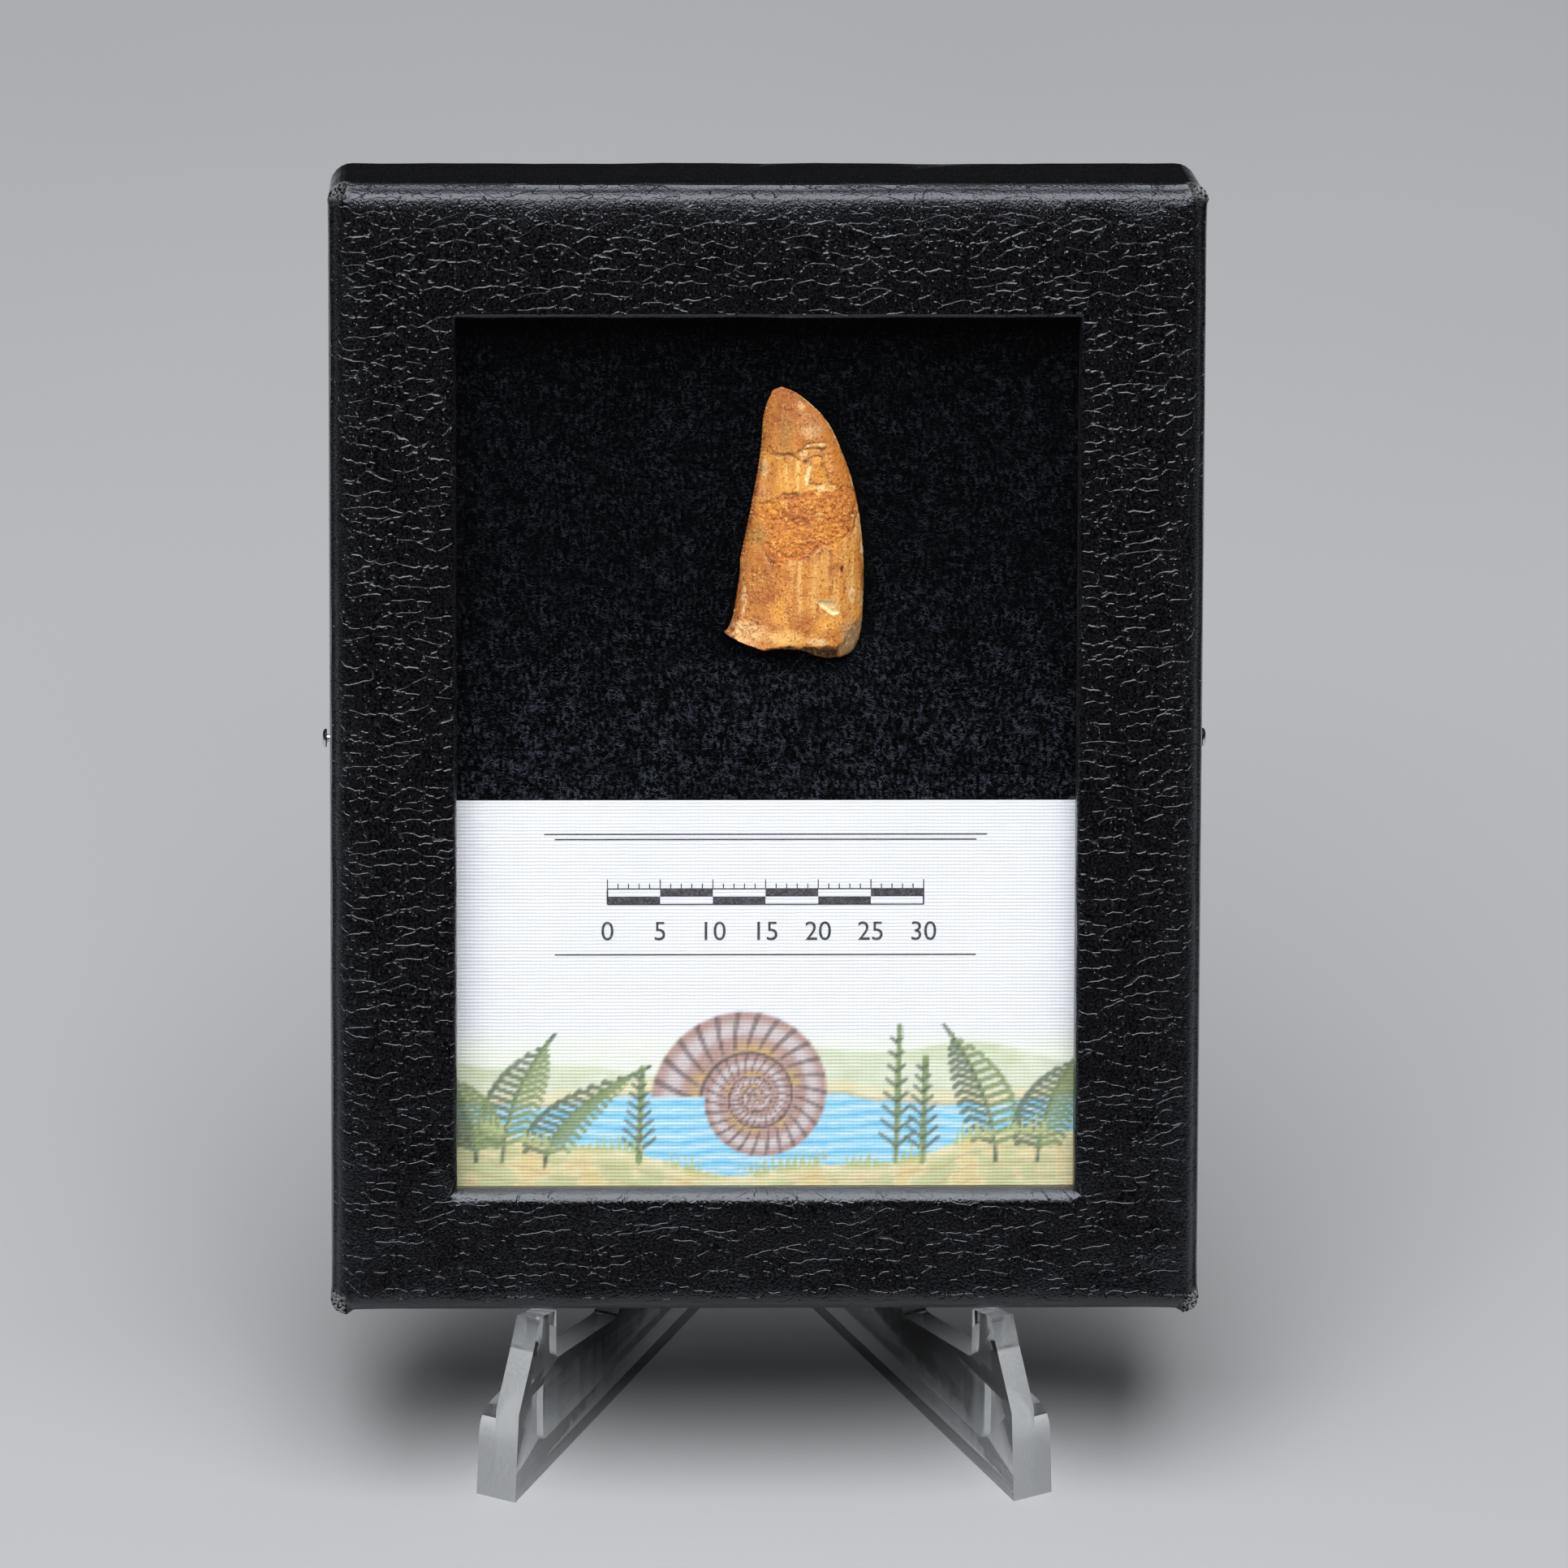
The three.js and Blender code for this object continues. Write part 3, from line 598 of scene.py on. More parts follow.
gritty = np.maximum(gritty, 0.5 * spot(xw, zw, -3.9, 6.6, 1.1, 2.4))
gritty = np.maximum(gritty, 0.6 * broken * spot(xw, zw, 2.3, 18.1, 0.9, 1.5))

stain = Paint(ENAMEL_TONES, "enamel", len(x))
stain.lay("warm", 0.35 + 0.7 * broad + 0.4 * coarse)
stain.lay("rust", 0.5 * ramp(coarse, 0.15, 0.7) + 0.3 * ramp(fine, 0.2, 0.65))
stain.lay("rust", 0.45 * ramp(z, 19, 24) + 0.4 * lower * ramp(x, -0.6, -2.4))
stain.lay("yellow", 0.4 * broken * (0.6 + upright) * ramp(x, 3.2, 2.6))
stain.lay("cream", lower * (0.15 + 0.55 * upright) * ramp(x, -1.5, 0.5) * ramp(z, 2, 5))
stain.lay("ochre", belt * (0.85 + 0.2 * broad))
stain.lay("rust", belt * 0.5 * ramp(-lump - 0.3 * broad, 0, 0.6))
stain.lay("gold", belt * 0.5 * ramp(lump + 0.3 * broad, 0.1, 0.6))
depth = 0.03 * coarse + 0.012 * fine + 0.1 * broken + 0.06 * broken * np.clip(upright, -1, 1)
depth = depth + gritty * (0.03 - 0.12 * np.clip(fine, -1, 1) - 0.15 * lump - 0.05 * np.clip(grit, -1, 1))
depth = depth + 0.1 * belt + lower * 0.02 * upright
for cx, cz, rx, rz, tone, strength in PLACES:
    here = spot(xw, zw, cx, cz, rx, rz)
    stain.lay(tone, strength * here * (0.8 + 0.45 * fine + 0.25 * grit))
# The matrix grains are partly their own tones and partly painted light and shade of their relief. They are
# yellow and cream on the highest grains, the cream as painted highlights, and umber where they sink.
stain.lay("yellow", gritty * ramp(fine + 0.5 * grit, 0.2, 0.75) * 0.9)
stain.lay("umber", gritty * ramp(-fine - 0.5 * grit, 0.3, 0.9) * 0.65)
stain.lay("cream", gritty * ramp(fine + 0.7 * grit, 0.6, 1.0) * 0.7)
for path, width, cut, tone, strength in LINES:
    reach = path_reach(xw, zw, path)
    here = (1 - ramp(reach, 0.25 * width, 0.25 * width + 0.13)) * (0.75 + 0.5 * coarse + 0.3 * fine)
    stain.lay(tone, strength * here)
    depth = depth + 0.7 * cut * here

# A flake is gone low on the curved side, and a small pale ring marks where another has started.
in_chip = inside_outline(x + 0.05 * fine, z + 0.05 * fine, CHIP)
chip_edge = 1 - ramp(path_reach(x, z, CHIP), 0.05, 0.17)
chip_step = 1 - ramp(path_reach(x, z, CHIP_STEP), 0.04, 0.15)
chip_floor = in_chip * ramp(z + 0.6 * x, 7.1, 6.9)
stain.lay("bone", 0.8 * in_chip)
stain.lay("white", 0.5 * chip_floor + 0.6 * chip_edge + 0.5 * chip_step * in_chip)
depth = depth + 0.2 * in_chip + 0.08 * chip_floor - 0.03 * chip_edge
ring = np.hypot((x - PALE_RING[0]) / PALE_RING[2], (z - PALE_RING[1]) / PALE_RING[3])
stain.lay("bone", 0.8 * ramp(np.abs(ring - 1), 0.45, 0.15))

# The front rim is chipped back, so the broken base slopes into view under it.
rim_z = line_up(FRONT_RIM, x) + 0.1 * coarse + 0.06 * fine
below_rim = np.clip(rim_z - z, 0, 3)
slope = 1.3 - 0.9 * ramp(x, 3.8, 4.5)
undercut = slope * below_rim * (1 - 0.25 * below_rim)
weight = np.where(front, np.minimum(1, 2 * np.abs(bulge)), 0.3 * (~on_base))
y = y + np.sign(bulge) * np.minimum(depth, 0.6 * half) * weight + undercut * front
under = ramp(below_rim, 0.03, 0.2) * ((bulge > 0) | on_base)
# Under the rim the slope is grey on the right and dark marrow brown on the left. The dark brown also paints in
# the shade that falls under the rim.
stain.lay("grey", under * ramp(x, 3.9, 4.4) * (0.7 + 0.5 * fine))
stain.lay("marrow", under * ramp(x, 4.4, 3.9) * (0.85 + 0.5 * fine))
stain.lay("bone", under * ramp(x, 3.9, 4.4) * ramp(grit + fine, 0.35, 0.8) * 0.7)
stain.lay("marrow", on_base * (0.8 + 0.5 * fine))

# Denticles stand along the straight edge, which is stained dark. The curved edge carries a painted pale
# highlight along its rim.
denticle = np.abs(np.sin(math.pi * z / DENTICLE_PITCH)) * ramp(z, 7, 9) * ramp(z, 25, 24)
x = x - DENTICLE_HEIGHT * (denticle - 0.5) * ramp(share, 0.06, 0)
ridge = np.sin(2 * math.pi * (z - 0.9 * (x - x0)) / DENTICLE_PITCH) * ramp(z, 16, 18) * ramp(z, 24.5, 23)
near_edge = ramp(share, 0.01, 0.03) * ramp(share, 0.1, 0.05) * front * ramp(coarse, -0.5, 0.1)
y = y - 0.03 * ridge * near_edge
stain.lay("yellow", 0.7 * near_edge * ramp(ridge + 0.6 * fine, 0.3, 0.9))
stain.lay("umber", 0.5 * near_edge * ramp(-ridge + 0.6 * fine, 0.3, 0.9))
# Painted highlight: a broken pale line along the outermost curved edge.
rim = ramp(share, 0.975, 0.99) * (ramp(z, 20, 21.5) * ramp(z, 25.6, 25) + 0.7 * ramp(coarse, -0.1, 0.3))
stain.lay("white", 0.75 * rim * (bulge > -0.5) * ramp(fine + coarse, -0.35, 0.25))
x = x + 0.05 * fine * ramp(share, 0.93, 1)
x = x - (0.05 * grit + 0.09 * fine) * ramp(share, 0.06, 0) * ramp(z, 9, 7)
edge_left = ramp(share, 0.06, 0.02) * (bulge > -0.3) * ramp(z, 25.4, 24.6)
stain.lay("rust", edge_left * (0.75 + 0.5 * coarse))
stain.lay("umber", edge_left * ramp(coarse + fine, 0.2, 0.7) * 0.6)
stain.lay("cream", edge_left * ramp(fine + grit, 0.45, 0.9) * 0.8)
dullness = 0.42 + 0.25 * gritty + 0.1 * broken + 0.3 * on_base + 0.1 * fine

# The broken base is hollow in the middle and rough all over.
x_mid, z_mid = -0.6, 1.3
rough = 0.16 * fine + 0.25 * coarse
edge_y = middle - half * bulge + undercut * (bulge > 0)
x = np.where(on_base, x_mid + (x - x_mid) * radial, x)
y = np.where(on_base, middle + (edge_y - middle) * radial, y)
hollow = 0.9 * (1 - radial**2) + np.abs(rough) * ramp(radial, 1, 0.85)
z = np.where(on_base, z_mid + (z - z_mid) * radial + hollow, z + 0.05 * coarse * ramp(t, 0.04, 0))

lightness = STAIN_DEPTH + (1 - STAIN_DEPTH) * ramp(z, 22, 25)
tones = np.clip(stain.colour * STAIN_WARMTH * lightness[:, None], 0, 1)
stain_layer = bm.verts.layers.float_color.new("stain")
gritty_layer = bm.verts.layers.float.new("gritty")
dull_layer = bm.verts.layers.float.new("dullness")
for vert, px, py, pz, tone, grit_here, dull in zip(bm.verts, x, y, z, tones, gritty, dullness):
    vert.co = case_place @ Vector((TOOTH_X + px, py, TOOTH_Z + pz))
    vert[stain_layer] = (*tone, 1)
    vert[gritty_layer] = grit_here
    vert[dull_layer] = dull
bmesh.ops.recalc_face_normals(bm, faces=bm.faces)


def fossil_enamel():
    finish = Finish("fossil_enamel", Specular_IOR_Level=0.42)
    place = finish.coordinates(case_place)
    painted = finish.stored("stain", "Color")
    dull, gritty_here = finish.stored("dullness"), finish.stored("gritty")
    speck = finish.grain(place, 3.6, 5.0)
    fleck = finish.grain(place, 6.5, 3.0)
    multiply, lighten = ({"data_type": "RGBA", "blend_type": kind} for kind in ("MULTIPLY", "SCREEN"))
    dark = finish.node("ShaderNodeMix", multiply, {0: 1.0, 6: painted, 7: (0.5, 0.33, 0.2, 1)}, 2)
    light = finish.node("ShaderNodeMix", lighten, {0: 1.0, 6: painted, 7: (0.3, 0.2, 0.1, 1)}, 2)
    tone = finish.mix(speck.between(0.52, 0.68) * 0.95, painted, dark)
    finish.drive("Base Color", finish.mix(fleck.between(0.55, 0.68) * 0.8, tone, light))
    finish.drive("Roughness", dull + 0.25 * (speck - 0.5))
    streaks = finish.grain(finish.stretched(place, (1, 1, 9)), 5.0)
    finish.relief((0.08 + 0.1 * gritty_here) * speck + 0.06 * fleck + 0.04 * streaks)
    return finish


make_piece("tooth_crown", bm, fossil_enamel(), "tooth", crease=180)


# ---- Batting ----
# A pad of black fibre that fills the tray. The pane and the card press it flat, the tooth sinks into it, and
# fine curly hairs stand out of its face.

BATTING_TIPS = 4.9  # depth of the hairs' outermost reach behind the case's face
PILE = 0.75  # from the felted body to the hairs' reach
BATTING_INSET = 3.4
BATTING_BACK = 17.1
CARD_TOP = 48.8
CARD_FRONT, CARD_THICKNESS = 4.5, 0.35
DENT_REACH = 2.6
BATTING_STEP = 0.5
LUMP_HEIGHT, LUMP_SIZE = 0.08, 2.4
HAIR_PIECES, HAIRS_PER_PIECE = 5, 9400
HAIR_STEPS, HAIR_SIDES = 3, 3
HAIR_RADIUS = 0.03
HAIR_LENGTH = (0.35, 1.7)
HAIR_LIFT = (0.1, 0.5)
HAIR_FLOW = math.radians(-8)
LID_BORDER = 12
FELT_DEEP, FELT_LIT = (0.0008, 0.0009, 0.0013, 1), (0.012, 0.0135, 0.018, 1)
HAIR_DEEP, HAIR_LIT = (0.0012, 0.0013, 0.0018, 1), (0.062, 0.07, 0.094, 1)


def beside_tooth(x, z):
    """Distance of places in the case from the tooth's outline, and how far up the tooth they are."""
    up = np.clip(z - TOOTH_Z, 0.3, TOOTH_LENGTH)
    left, right = edge_across(STRAIGHT_EDGE, np.maximum(up, 2.4)), edge_across(CURVED_EDGE, up)
    aside = np.maximum(left - (x - TOOTH_X), (x - TOOTH_X) - right)
    beyond = np.maximum(TOOTH_Z + 1 - z, z - TOOTH_Z - TOOTH_LENGTH)
    outside = np.hypot(np.maximum(aside, 0), np.maximum(beyond, 0))
    return np.where((aside < 0) & (beyond < 0), np.maximum(aside, beyond), outside), up / TOOTH_LENGTH


def felt_depth(x, z):
    """Depth of the felted body's face: near the pane, pressed back by the card, and sunk round the tooth."""
    away, t = beside_tooth(x, z)
    t = np.minimum(t, 0.98)
    open_face = BATTING_TIPS + PILE
    at_edge = tooth_middle(t) + 0.55
    under = at_edge + tooth_half(t) * ramp(away, 0, -3)
    sunk = np.exp(-((np.maximum(away, 0) / DENT_REACH) ** 2))
    face = open_face + (under - open_face) * sunk
    card = CARD_FRONT + CARD_THICKNESS + GAP
    return np.where(z < CARD_TOP + 3, face + (card - face) * ramp(z, CARD_TOP + 3, CARD_TOP + 0.8), face)


def flat_grid(width, bottom, top, step):
    """A grid of faces about `step` wide, and where its vertices belong in the case, across and up."""
    bm = bmesh.new()
    bmesh.ops.create_grid(bm, x_segments=round(width / step), y_segments=round((top - bottom) / step), size=1)
    across, up, _ = np.array([v.co for v in bm.verts]).T
    return bm, width / 2 * across, (bottom + top) / 2 + (top - bottom) / 2 * up


def stand_in_case(bm):
    bmesh.ops.transform(bm, matrix=case_place, verts=bm.verts)
    bmesh.ops.recalc_face_normals(bm, faces=bm.faces)


def close_behind(bm, depth):
    """Makes a grid a solid, with walls from its rim straight back to `depth`, and stands it in the case."""
    rim = [edge for edge in bm.edges if edge.is_boundary]
    wall = bmesh.ops.extrude_edge_only(bm, edges=rim)["geom"]
    for vert in (item for item in wall if isinstance(item, bmesh.types.BMVert)):
        vert.co.y = depth
    bmesh.ops.holes_fill(bm, edges=[edge for edge in bm.edges if edge.is_boundary], sides=0)
    stand_in_case(bm)


pad_width = CASE_WIDTH - 2 * BATTING_INSET
pad, x, z = flat_grid(pad_width, BATTING_INSET, CASE_HEIGHT - BATTING_INSET, BATTING_STEP)
face_depth = felt_depth(x, z) + LUMP_HEIGHT * grain_at(np.stack([x, 0 * x, z], axis=1), LUMP_SIZE, 3)
for vert, *place in zip(pad.verts, x, face_depth, z):
    vert.co = place
close_behind(pad, BATTING_BACK)


def felt():
    finish = Finish("felt", Specular_IOR_Level=0.02)
    along = finish.shifted(finish.coordinates(case_place, (3, 3, 1)), 2.5, 0.6)
    strands = finish.grain(along, 6.0)
    deep = finish.grain(finish.coordinates(case_place), 0.5, 1.0)
    tone = strands.between(0.48, 0.75) * (0.4 + 0.6 * deep)
    finish.drive("Base Color", finish.mix(tone, FELT_DEEP, FELT_LIT))
    finish.drive("Roughness", 0.95 - 0.25 * strands)
    return finish


def hair():
    finish = Finish("hair", Roughness=0.6, Specular_IOR_Level=0.0)
    place = finish.coordinates(case_place)
    tint = finish.grain(finish.stretched(place, (0.55, 1, 1)), 1.6, 3.0)
    height = finish.axis(place, "Z")
    patch = finish.grain(finish.stretched(place, (1.6, 1, 1)), 0.55, 1.0).between(0.3, 0.65)
    # Painted sheen: the hairs' bluish lit tone stands in for their glints. It is laid in random streaks and
    # patches and is painted stronger low in the window, as though the hairs there caught more of the light.
    light = tint.between(0.4, 0.68) * (0.5 + 0.75 * height.between(72.0, 52.0)) * (0.4 + 0.7 * patch)
    finish.drive("Base Color", finish.mix(light, HAIR_DEEP, HAIR_LIT))
    return finish


pad = make_piece("batting_pad", pad, felt(), "batting", crease=60)


def curly_hairs(count, chance):
    """Vertices and faces of short hairs that arch out of the felt, as thin three-sided tubes."""
    half_window = CASE_WIDTH / 2 - LID_BORDER + 1.5
    x = chance.uniform(-half_window, half_window, 2 * count)
    z = chance.uniform(CARD_TOP - 0.3, CASE_HEIGHT - LID_BORDER + 1.5, 2 * count)
    away, _ = beside_tooth(x, z)
    keep = np.flatnonzero(away > 0.15)[:count]
    x, z = x[keep], z[keep]
    swirl = np.array([noise.noise(Vector((a / 9, 0, b / 9))) for a, b in zip(x, z)])
    heading = HAIR_FLOW + 0.6 * swirl + chance.normal(0, 0.5, count)
    length = chance.triangular(HAIR_LENGTH[0], 0.7, HAIR_LENGTH[1], count)
    curl = chance.normal(0, 0.7, count)
    lift = chance.uniform(*HAIR_LIFT, count)
    s = np.linspace(0, 1, HAIR_STEPS + 1)[None, :]
    bearing = heading[:, None] + curl[:, None] * (s - 0.5) * 2
    step = length[:, None] / HAIR_STEPS
    along_x = x[:, None] + np.cumsum(np.cos(bearing) * step, axis=1)
    along_z = z[:, None] + np.cumsum(np.sin(bearing) * step, axis=1)
    along_z = np.maximum(along_z, CARD_TOP - 0.6)
    body = felt_depth(along_x.ravel(), along_z.ravel()).reshape(along_x.shape)
    rise = 0.1 + lift[:, None] * np.sin(math.pi * (0.12 + 0.76 * s))
    away_now, _ = beside_tooth(along_x.ravel(), along_z.ravel())
    lowered = ramp(away_now, 0.25, -0.2).reshape(along_x.shape)
    depth = np.maximum(body - rise * (1 - lowered) + 0.8 * lowered, BATTING_TIPS + 0.02)
    centre = np.stack([along_x, depth, along_z], axis=2)
    way = np.gradient(centre, axis=1)
    side = np.cross(way, (0, -1, 0))
    side /= np.linalg.norm(side, axis=2, keepdims=True) + 1e-9
    radius = (HAIR_RADIUS * (1 - 0.75 * np.abs(2 * s - 1) ** 3))[..., None]
    rings = []
    for k in range(HAIR_SIDES):
        angle = 2 * math.pi * k / HAIR_SIDES + math.pi / 2
        rings.append(centre + radius * (math.cos(angle) * side + math.sin(angle) * np.array((0, -1, 0))))
    verts = np.stack(rings, axis=2).reshape(-1, 3)
    first = (np.arange(count) * (HAIR_STEPS + 1) * HAIR_SIDES)[:, None]
    quads = []
    for i in range(HAIR_STEPS):
        for k in range(HAIR_SIDES):
            near, far, after = i * HAIR_SIDES, (i + 1) * HAIR_SIDES, (k + 1) % HAIR_SIDES
            quads.append(first + np.array([near + k, near + after, far + after, far + k]))
    top = HAIR_STEPS * HAIR_SIDES
    ends = [first + np.array([2, 1, 0]), first + np.array([top, top + 1, top + 2])]
    return verts, [*np.concatenate(quads).tolist(), *np.concatenate(ends).tolist()]


hair_finish = hair()
chance = np.random.default_rng(17)
for number in range(HAIR_PIECES):
    verts, faces = curly_hairs(HAIRS_PER_PIECE, chance)
    mesh = bpy.data.meshes.new("batting_hairs")
    mesh.from_pydata(verts.tolist(), [], faces)
    mesh.transform(case_place)
    bm = bmesh.new()
    bm.from_mesh(mesh)
    bpy.data.meshes.remove(mesh)
    make_piece(f"batting_hairs_{number + 1}", bm, hair_finish, crease=180)


# ---- Label card ----
# A white card with a linen weave pressed into it. It carries a millimetre scale with plain numbers and a
# printed shore of strata, ferns, horsetails and a coiled shell.

CARD_WIDTH = 75
CARD_BOTTOM = 3.4
CARD_STEP = 0.22
PRINT_LIFT = 0.03
WEFT_PITCH, CORD_PITCH = 19.0, 15.0  # radians of the weave to a millimetre
WEAVE_SHADE = (0.86, 0.87, 0.89, 1)
CARD_TONES = {
    "white": "d6d7db", "water": "8cc4dc", "water_deep": "4fa6cf", "sky": "d8ddcc", "sand": "d3c9a0",
    "strata": "a8875c", "grass": "a2ac72", "leaf": "6d8048", "leaf_dark": "46573a", "shell": "a08078",
    "shell_dark": "4c3430", "ochre": "bfa045",
}
# Fern fronds: the root across and up, how far the tip sways, and the length. Horsetails: across and length.
FERNS = [(-25, 14, 5, 14), (-21, 13.5, 10, 11), (-27.5, 14, -3, 10), (22, 14, -5, 15), (26, 14, 4, 12)]
HORSETAILS = [(12.5, 13), (15, 10), (-12, 9)]
HORSETAIL_ROOT = 14
SHELL_X, SHELL_Z, SHELL_RADIUS = -1.0, 20.2, 7.4
SHELL_GROWTH, SHELL_RIBS = 2.1, 26  # how much wider each turn is than the last, and the ribs on it


def card_finish():
    finish = Finish("linen_card", Roughness=0.7, Specular_IOR_Level=0.3)
    place = finish.coordinates(case_place)
    warp = finish.grain(place, 0.8) - 0.5
    weft = (finish.axis(place, "Z") * WEFT_PITCH + warp * 2.0).sine()
    cord = (finish.axis(place, "X") * CORD_PITCH + warp * 2.0).sine()
    weave = 0.8 * weft + 0.2 * cord
    height = weave.between(-1.0, 1.0) * 0.5 + finish.grain(place, 3.0) * 0.3
    # Painted shade: the card is darkened where the weave lies low, with a little random tone of the paper.
    shade = finish.mix(height, WEAVE_SHADE, (1, 1, 1, 1))
    multiply = {"data_type": "RGBA", "blend_type": "MULTIPLY"}
    linen = finish.node("ShaderNodeMix", multiply, {0: 1.0, 6: finish.stored("print", "Color"), 7: shade}, 2)
    finish.drive("Base Color", linen)
    finish.relief(0.012 * weave + 0.01 * finish.grain(place, 6.0, 1.0))
    return finish


def near_path(x, z, points, width):
    """How strongly places lie on a stroke of the brush along a path."""
    return 1 - ramp(path_reach(x, z, points), 0.5 * width, 0.5 * width + 0.16)


bm, x, z = flat_grid(CARD_WIDTH, CARD_BOTTOM, CARD_TOP, CARD_STEP)
places = np.stack([x, 0 * x, z], axis=1)
blot = grain_at(places, 3.0, 3)
paper_grain = grain_at(places + 40, 0.5, 2)

# The picture fills the card's lower part, from land at the back to water and a sandy bank in front.
picture_top = 27.5 + 0.5 * blot
ink = Paint(CARD_TONES, "white", len(x))
far_land = 24.2 + 1.3 * np.sin(x / 9.0) + 0.6 * np.sin(x / 3.1 + 1)
ink.lay("sky", 0.8 * ramp(z, picture_top, picture_top - 3) * ramp(z, 18, 22))
ink.lay("grass", 0.55 * ramp(z, far_land, far_land - 0.5) * (0.8 + 0.5 * blot))
shore = 20.5 + 0.9 * np.sin(x / 6.5 + 2) + 0.3 * blot
ink.lay("sand", 0.75 * ramp(z, shore + 1.4, shore + 0.9))
ink.lay("strata", 0.8 * ramp(z, shore + 0.3, shore) * (0.7 + 0.5 * paper_grain))
ink.lay("water", ramp(z, shore, shore - 0.35))
ripple = np.sin(5.2 * z + 0.9 * np.sin(x / 2.2) + 1.2 * blot)
ink.lay("water_deep", 0.7 * ramp(z, shore, shore - 0.5) * ramp(ripple, 0.35, 0.9))
ink.lay("white", 0.6 * ramp(z, shore, shore - 0.4) * ramp(-ripple, 0.75, 0.98))
bank = 15.6 - 2.4 * np.cos(x / 11.0) + 0.5 * np.sin(x / 2.7) + 0.3 * blot
ink.lay("sand", ramp(z, bank, bank - 0.3))
ink.lay("grass", 0.7 * ramp(z, bank - 0.4, bank - 1.6) * ramp(-blot, -0.35, 0.25))
ink.lay("ochre", 0.45 * ramp(z, bank - 0.2, bank - 0.5) * ramp(blot + 0.4 * paper_grain, 0, 0.5))
bedding = np.sin(4.4 * (bank - z) + 0.8 * blot)
ink.lay("strata", 0.35 * ramp(z, bank - 0.5, bank - 1) * ramp(bedding, 0.6, 0.95))

# Fern fronds and horsetails grow on the bank.
for root_x, root_z, sway, tall in FERNS:
    along = [k / 8 for k in range(9)]
    stem = [(root_x + sway * t**1.8, root_z + tall * t * (1 - 0.12 * t)) for t in along]
    ink.lay("leaf_dark", near_path(x, z, stem, 0.22))
    for k in range(14):
        t = 0.12 + 0.86 * k / 14
        leaf_x, leaf_z = root_x + sway * t**1.8, root_z + tall * t * (1 - 0.12 * t)
        reach = 2.7 * math.sin(math.pi * min(1, t + 0.12)) ** 0.7
        for way, tone in ((-1, "leaf_dark"), (1, "leaf")):
            bend = (leaf_x + 0.8 * way * reach, leaf_z + 0.28 * reach)
            leaflet = [(leaf_x, leaf_z), bend, (leaf_x + way * reach, leaf_z + 0.1 * reach)]
            ink.lay(tone, 0.9 * near_path(x, z, leaflet, 0.34))
for stalk_x, tall in HORSETAILS:
    stalk = [(stalk_x, HORSETAIL_ROOT), (stalk_x + 0.3, HORSETAIL_ROOT + tall)]
    ink.lay("leaf", near_path(x, z, stalk, 0.42))
    for k in range(1, 9):
        whorl = HORSETAIL_ROOT + tall * k / 9
        reach = 1.7 * (1 - k / 11)
        for way in (-1, 1):
            spray = [(stalk_x, whorl), (stalk_x + way * reach, whorl + 0.8 * reach)]
            ink.lay("leaf_dark", 0.9 * near_path(x, z, spray, 0.2))
blades = np.sin(9.0 * x + 3.0 * blot) * 0.5 + np.sin(14.3 * x + 1.7) * 0.4
tufts = ramp(z, bank + 1.3 * blades + 0.5, bank + 1.3 * blades + 0.1) * ramp(z, bank - 1, bank - 0.3)
ink.lay("grass", 0.9 * tufts * ramp(blot, -0.3, 0.1))

# A coiled shell lies on the sand: a spiral of widening whorls crossed by ribs.
from_shell = np.hypot(x - SHELL_X, z - SHELL_Z)
angle = np.arctan2(z - SHELL_Z, x - SHELL_X) / (2 * math.pi)
turns = np.log(np.maximum(from_shell, 0.2) / SHELL_RADIUS) / math.log(SHELL_GROWTH) - angle
whorl = turns - np.floor(turns)
shell_edge = SHELL_RADIUS * SHELL_GROWTH**angle
inside = ramp(from_shell, shell_edge * SHELL_GROWTH**-0.08, shell_edge * SHELL_GROWTH**-0.14)
ink.lay("shell", inside)
ink.lay("ochre", 0.6 * inside * ramp(whorl, 0.45, 0.1) * ramp(blot, -0.3, 0.3))
ink.lay("white", 0.45 * inside * ramp(np.abs(whorl - 0.6), 0.22, 0.05))
ribs = np.sin(2 * math.pi * (angle * SHELL_RIBS + 1.1 * whorl))
ink.lay("shell_dark", 0.75 * inside * ramp(ribs, 0.35, 0.85) * ramp(whorl, 0.06, 0.2))
ink.lay("shell_dark", 0.95 * inside * (ramp(whorl, 0.09, 0.02) + ramp(whorl, 0.93, 0.99)))
ink.lay("white", 0.08 + 0.08 * paper_grain)

print_layer = bm.verts.layers.float_color.new("print")
for vert, across, up, tone in zip(bm.verts, x, z, np.clip(ink.colour, 0, 1)):
    vert.co = (across, CARD_FRONT, up)
    vert[print_layer] = (*tone, 1)
close_behind(bm, CARD_FRONT + CARD_THICKNESS)
make_piece("label_card_print", bm, card_finish(), "label_card", crease=40)

# The scale: 30 mm in blocks of 5, numbered below, between two fine rules.
SCALE_LENGTH, SCALE_STEP, SCALE_HEIGHT = 30, 5, 1.5
SCALE_Z = 39.6
NUMBER_SIZE, NUMBERS_BELOW = 2.6, 4.2
RULES = ((45.6, 42), (45.1, 40), (34.0, 40))  # height and length
LINE_WIDTHS = {"end": 0.16, "edge": 0.12, "tick": 0.11, "rule": 0.13}
INK_BLACK, INK_WORN = (0.028, 0.026, 0.032, 1), (0.1, 0.095, 0.11, 1)


def printed_ink():
    finish = Finish("printed_ink", Roughness=0.75, Specular_IOR_Level=0.2)
    wear = finish.grain(finish.coordinates(case_place), 5.0, 3.0)
    finish.drive("Base Color", finish.mix(wear.between(0.35, 0.75), INK_BLACK, INK_WORN))
    return finish


def ink_bar(bm, x, z, width, height):
    """A printed bar on the card, as thin as its ink."""
    bar = bmesh.ops.create_cube(bm, size=1)["verts"]
    bmesh.ops.scale(bm, vec=(width, PRINT_LIFT / 2, height), verts=bar)
    bmesh.ops.translate(bm, vec=(x, CARD_FRONT - PRINT_LIFT / 2, z), verts=bar)


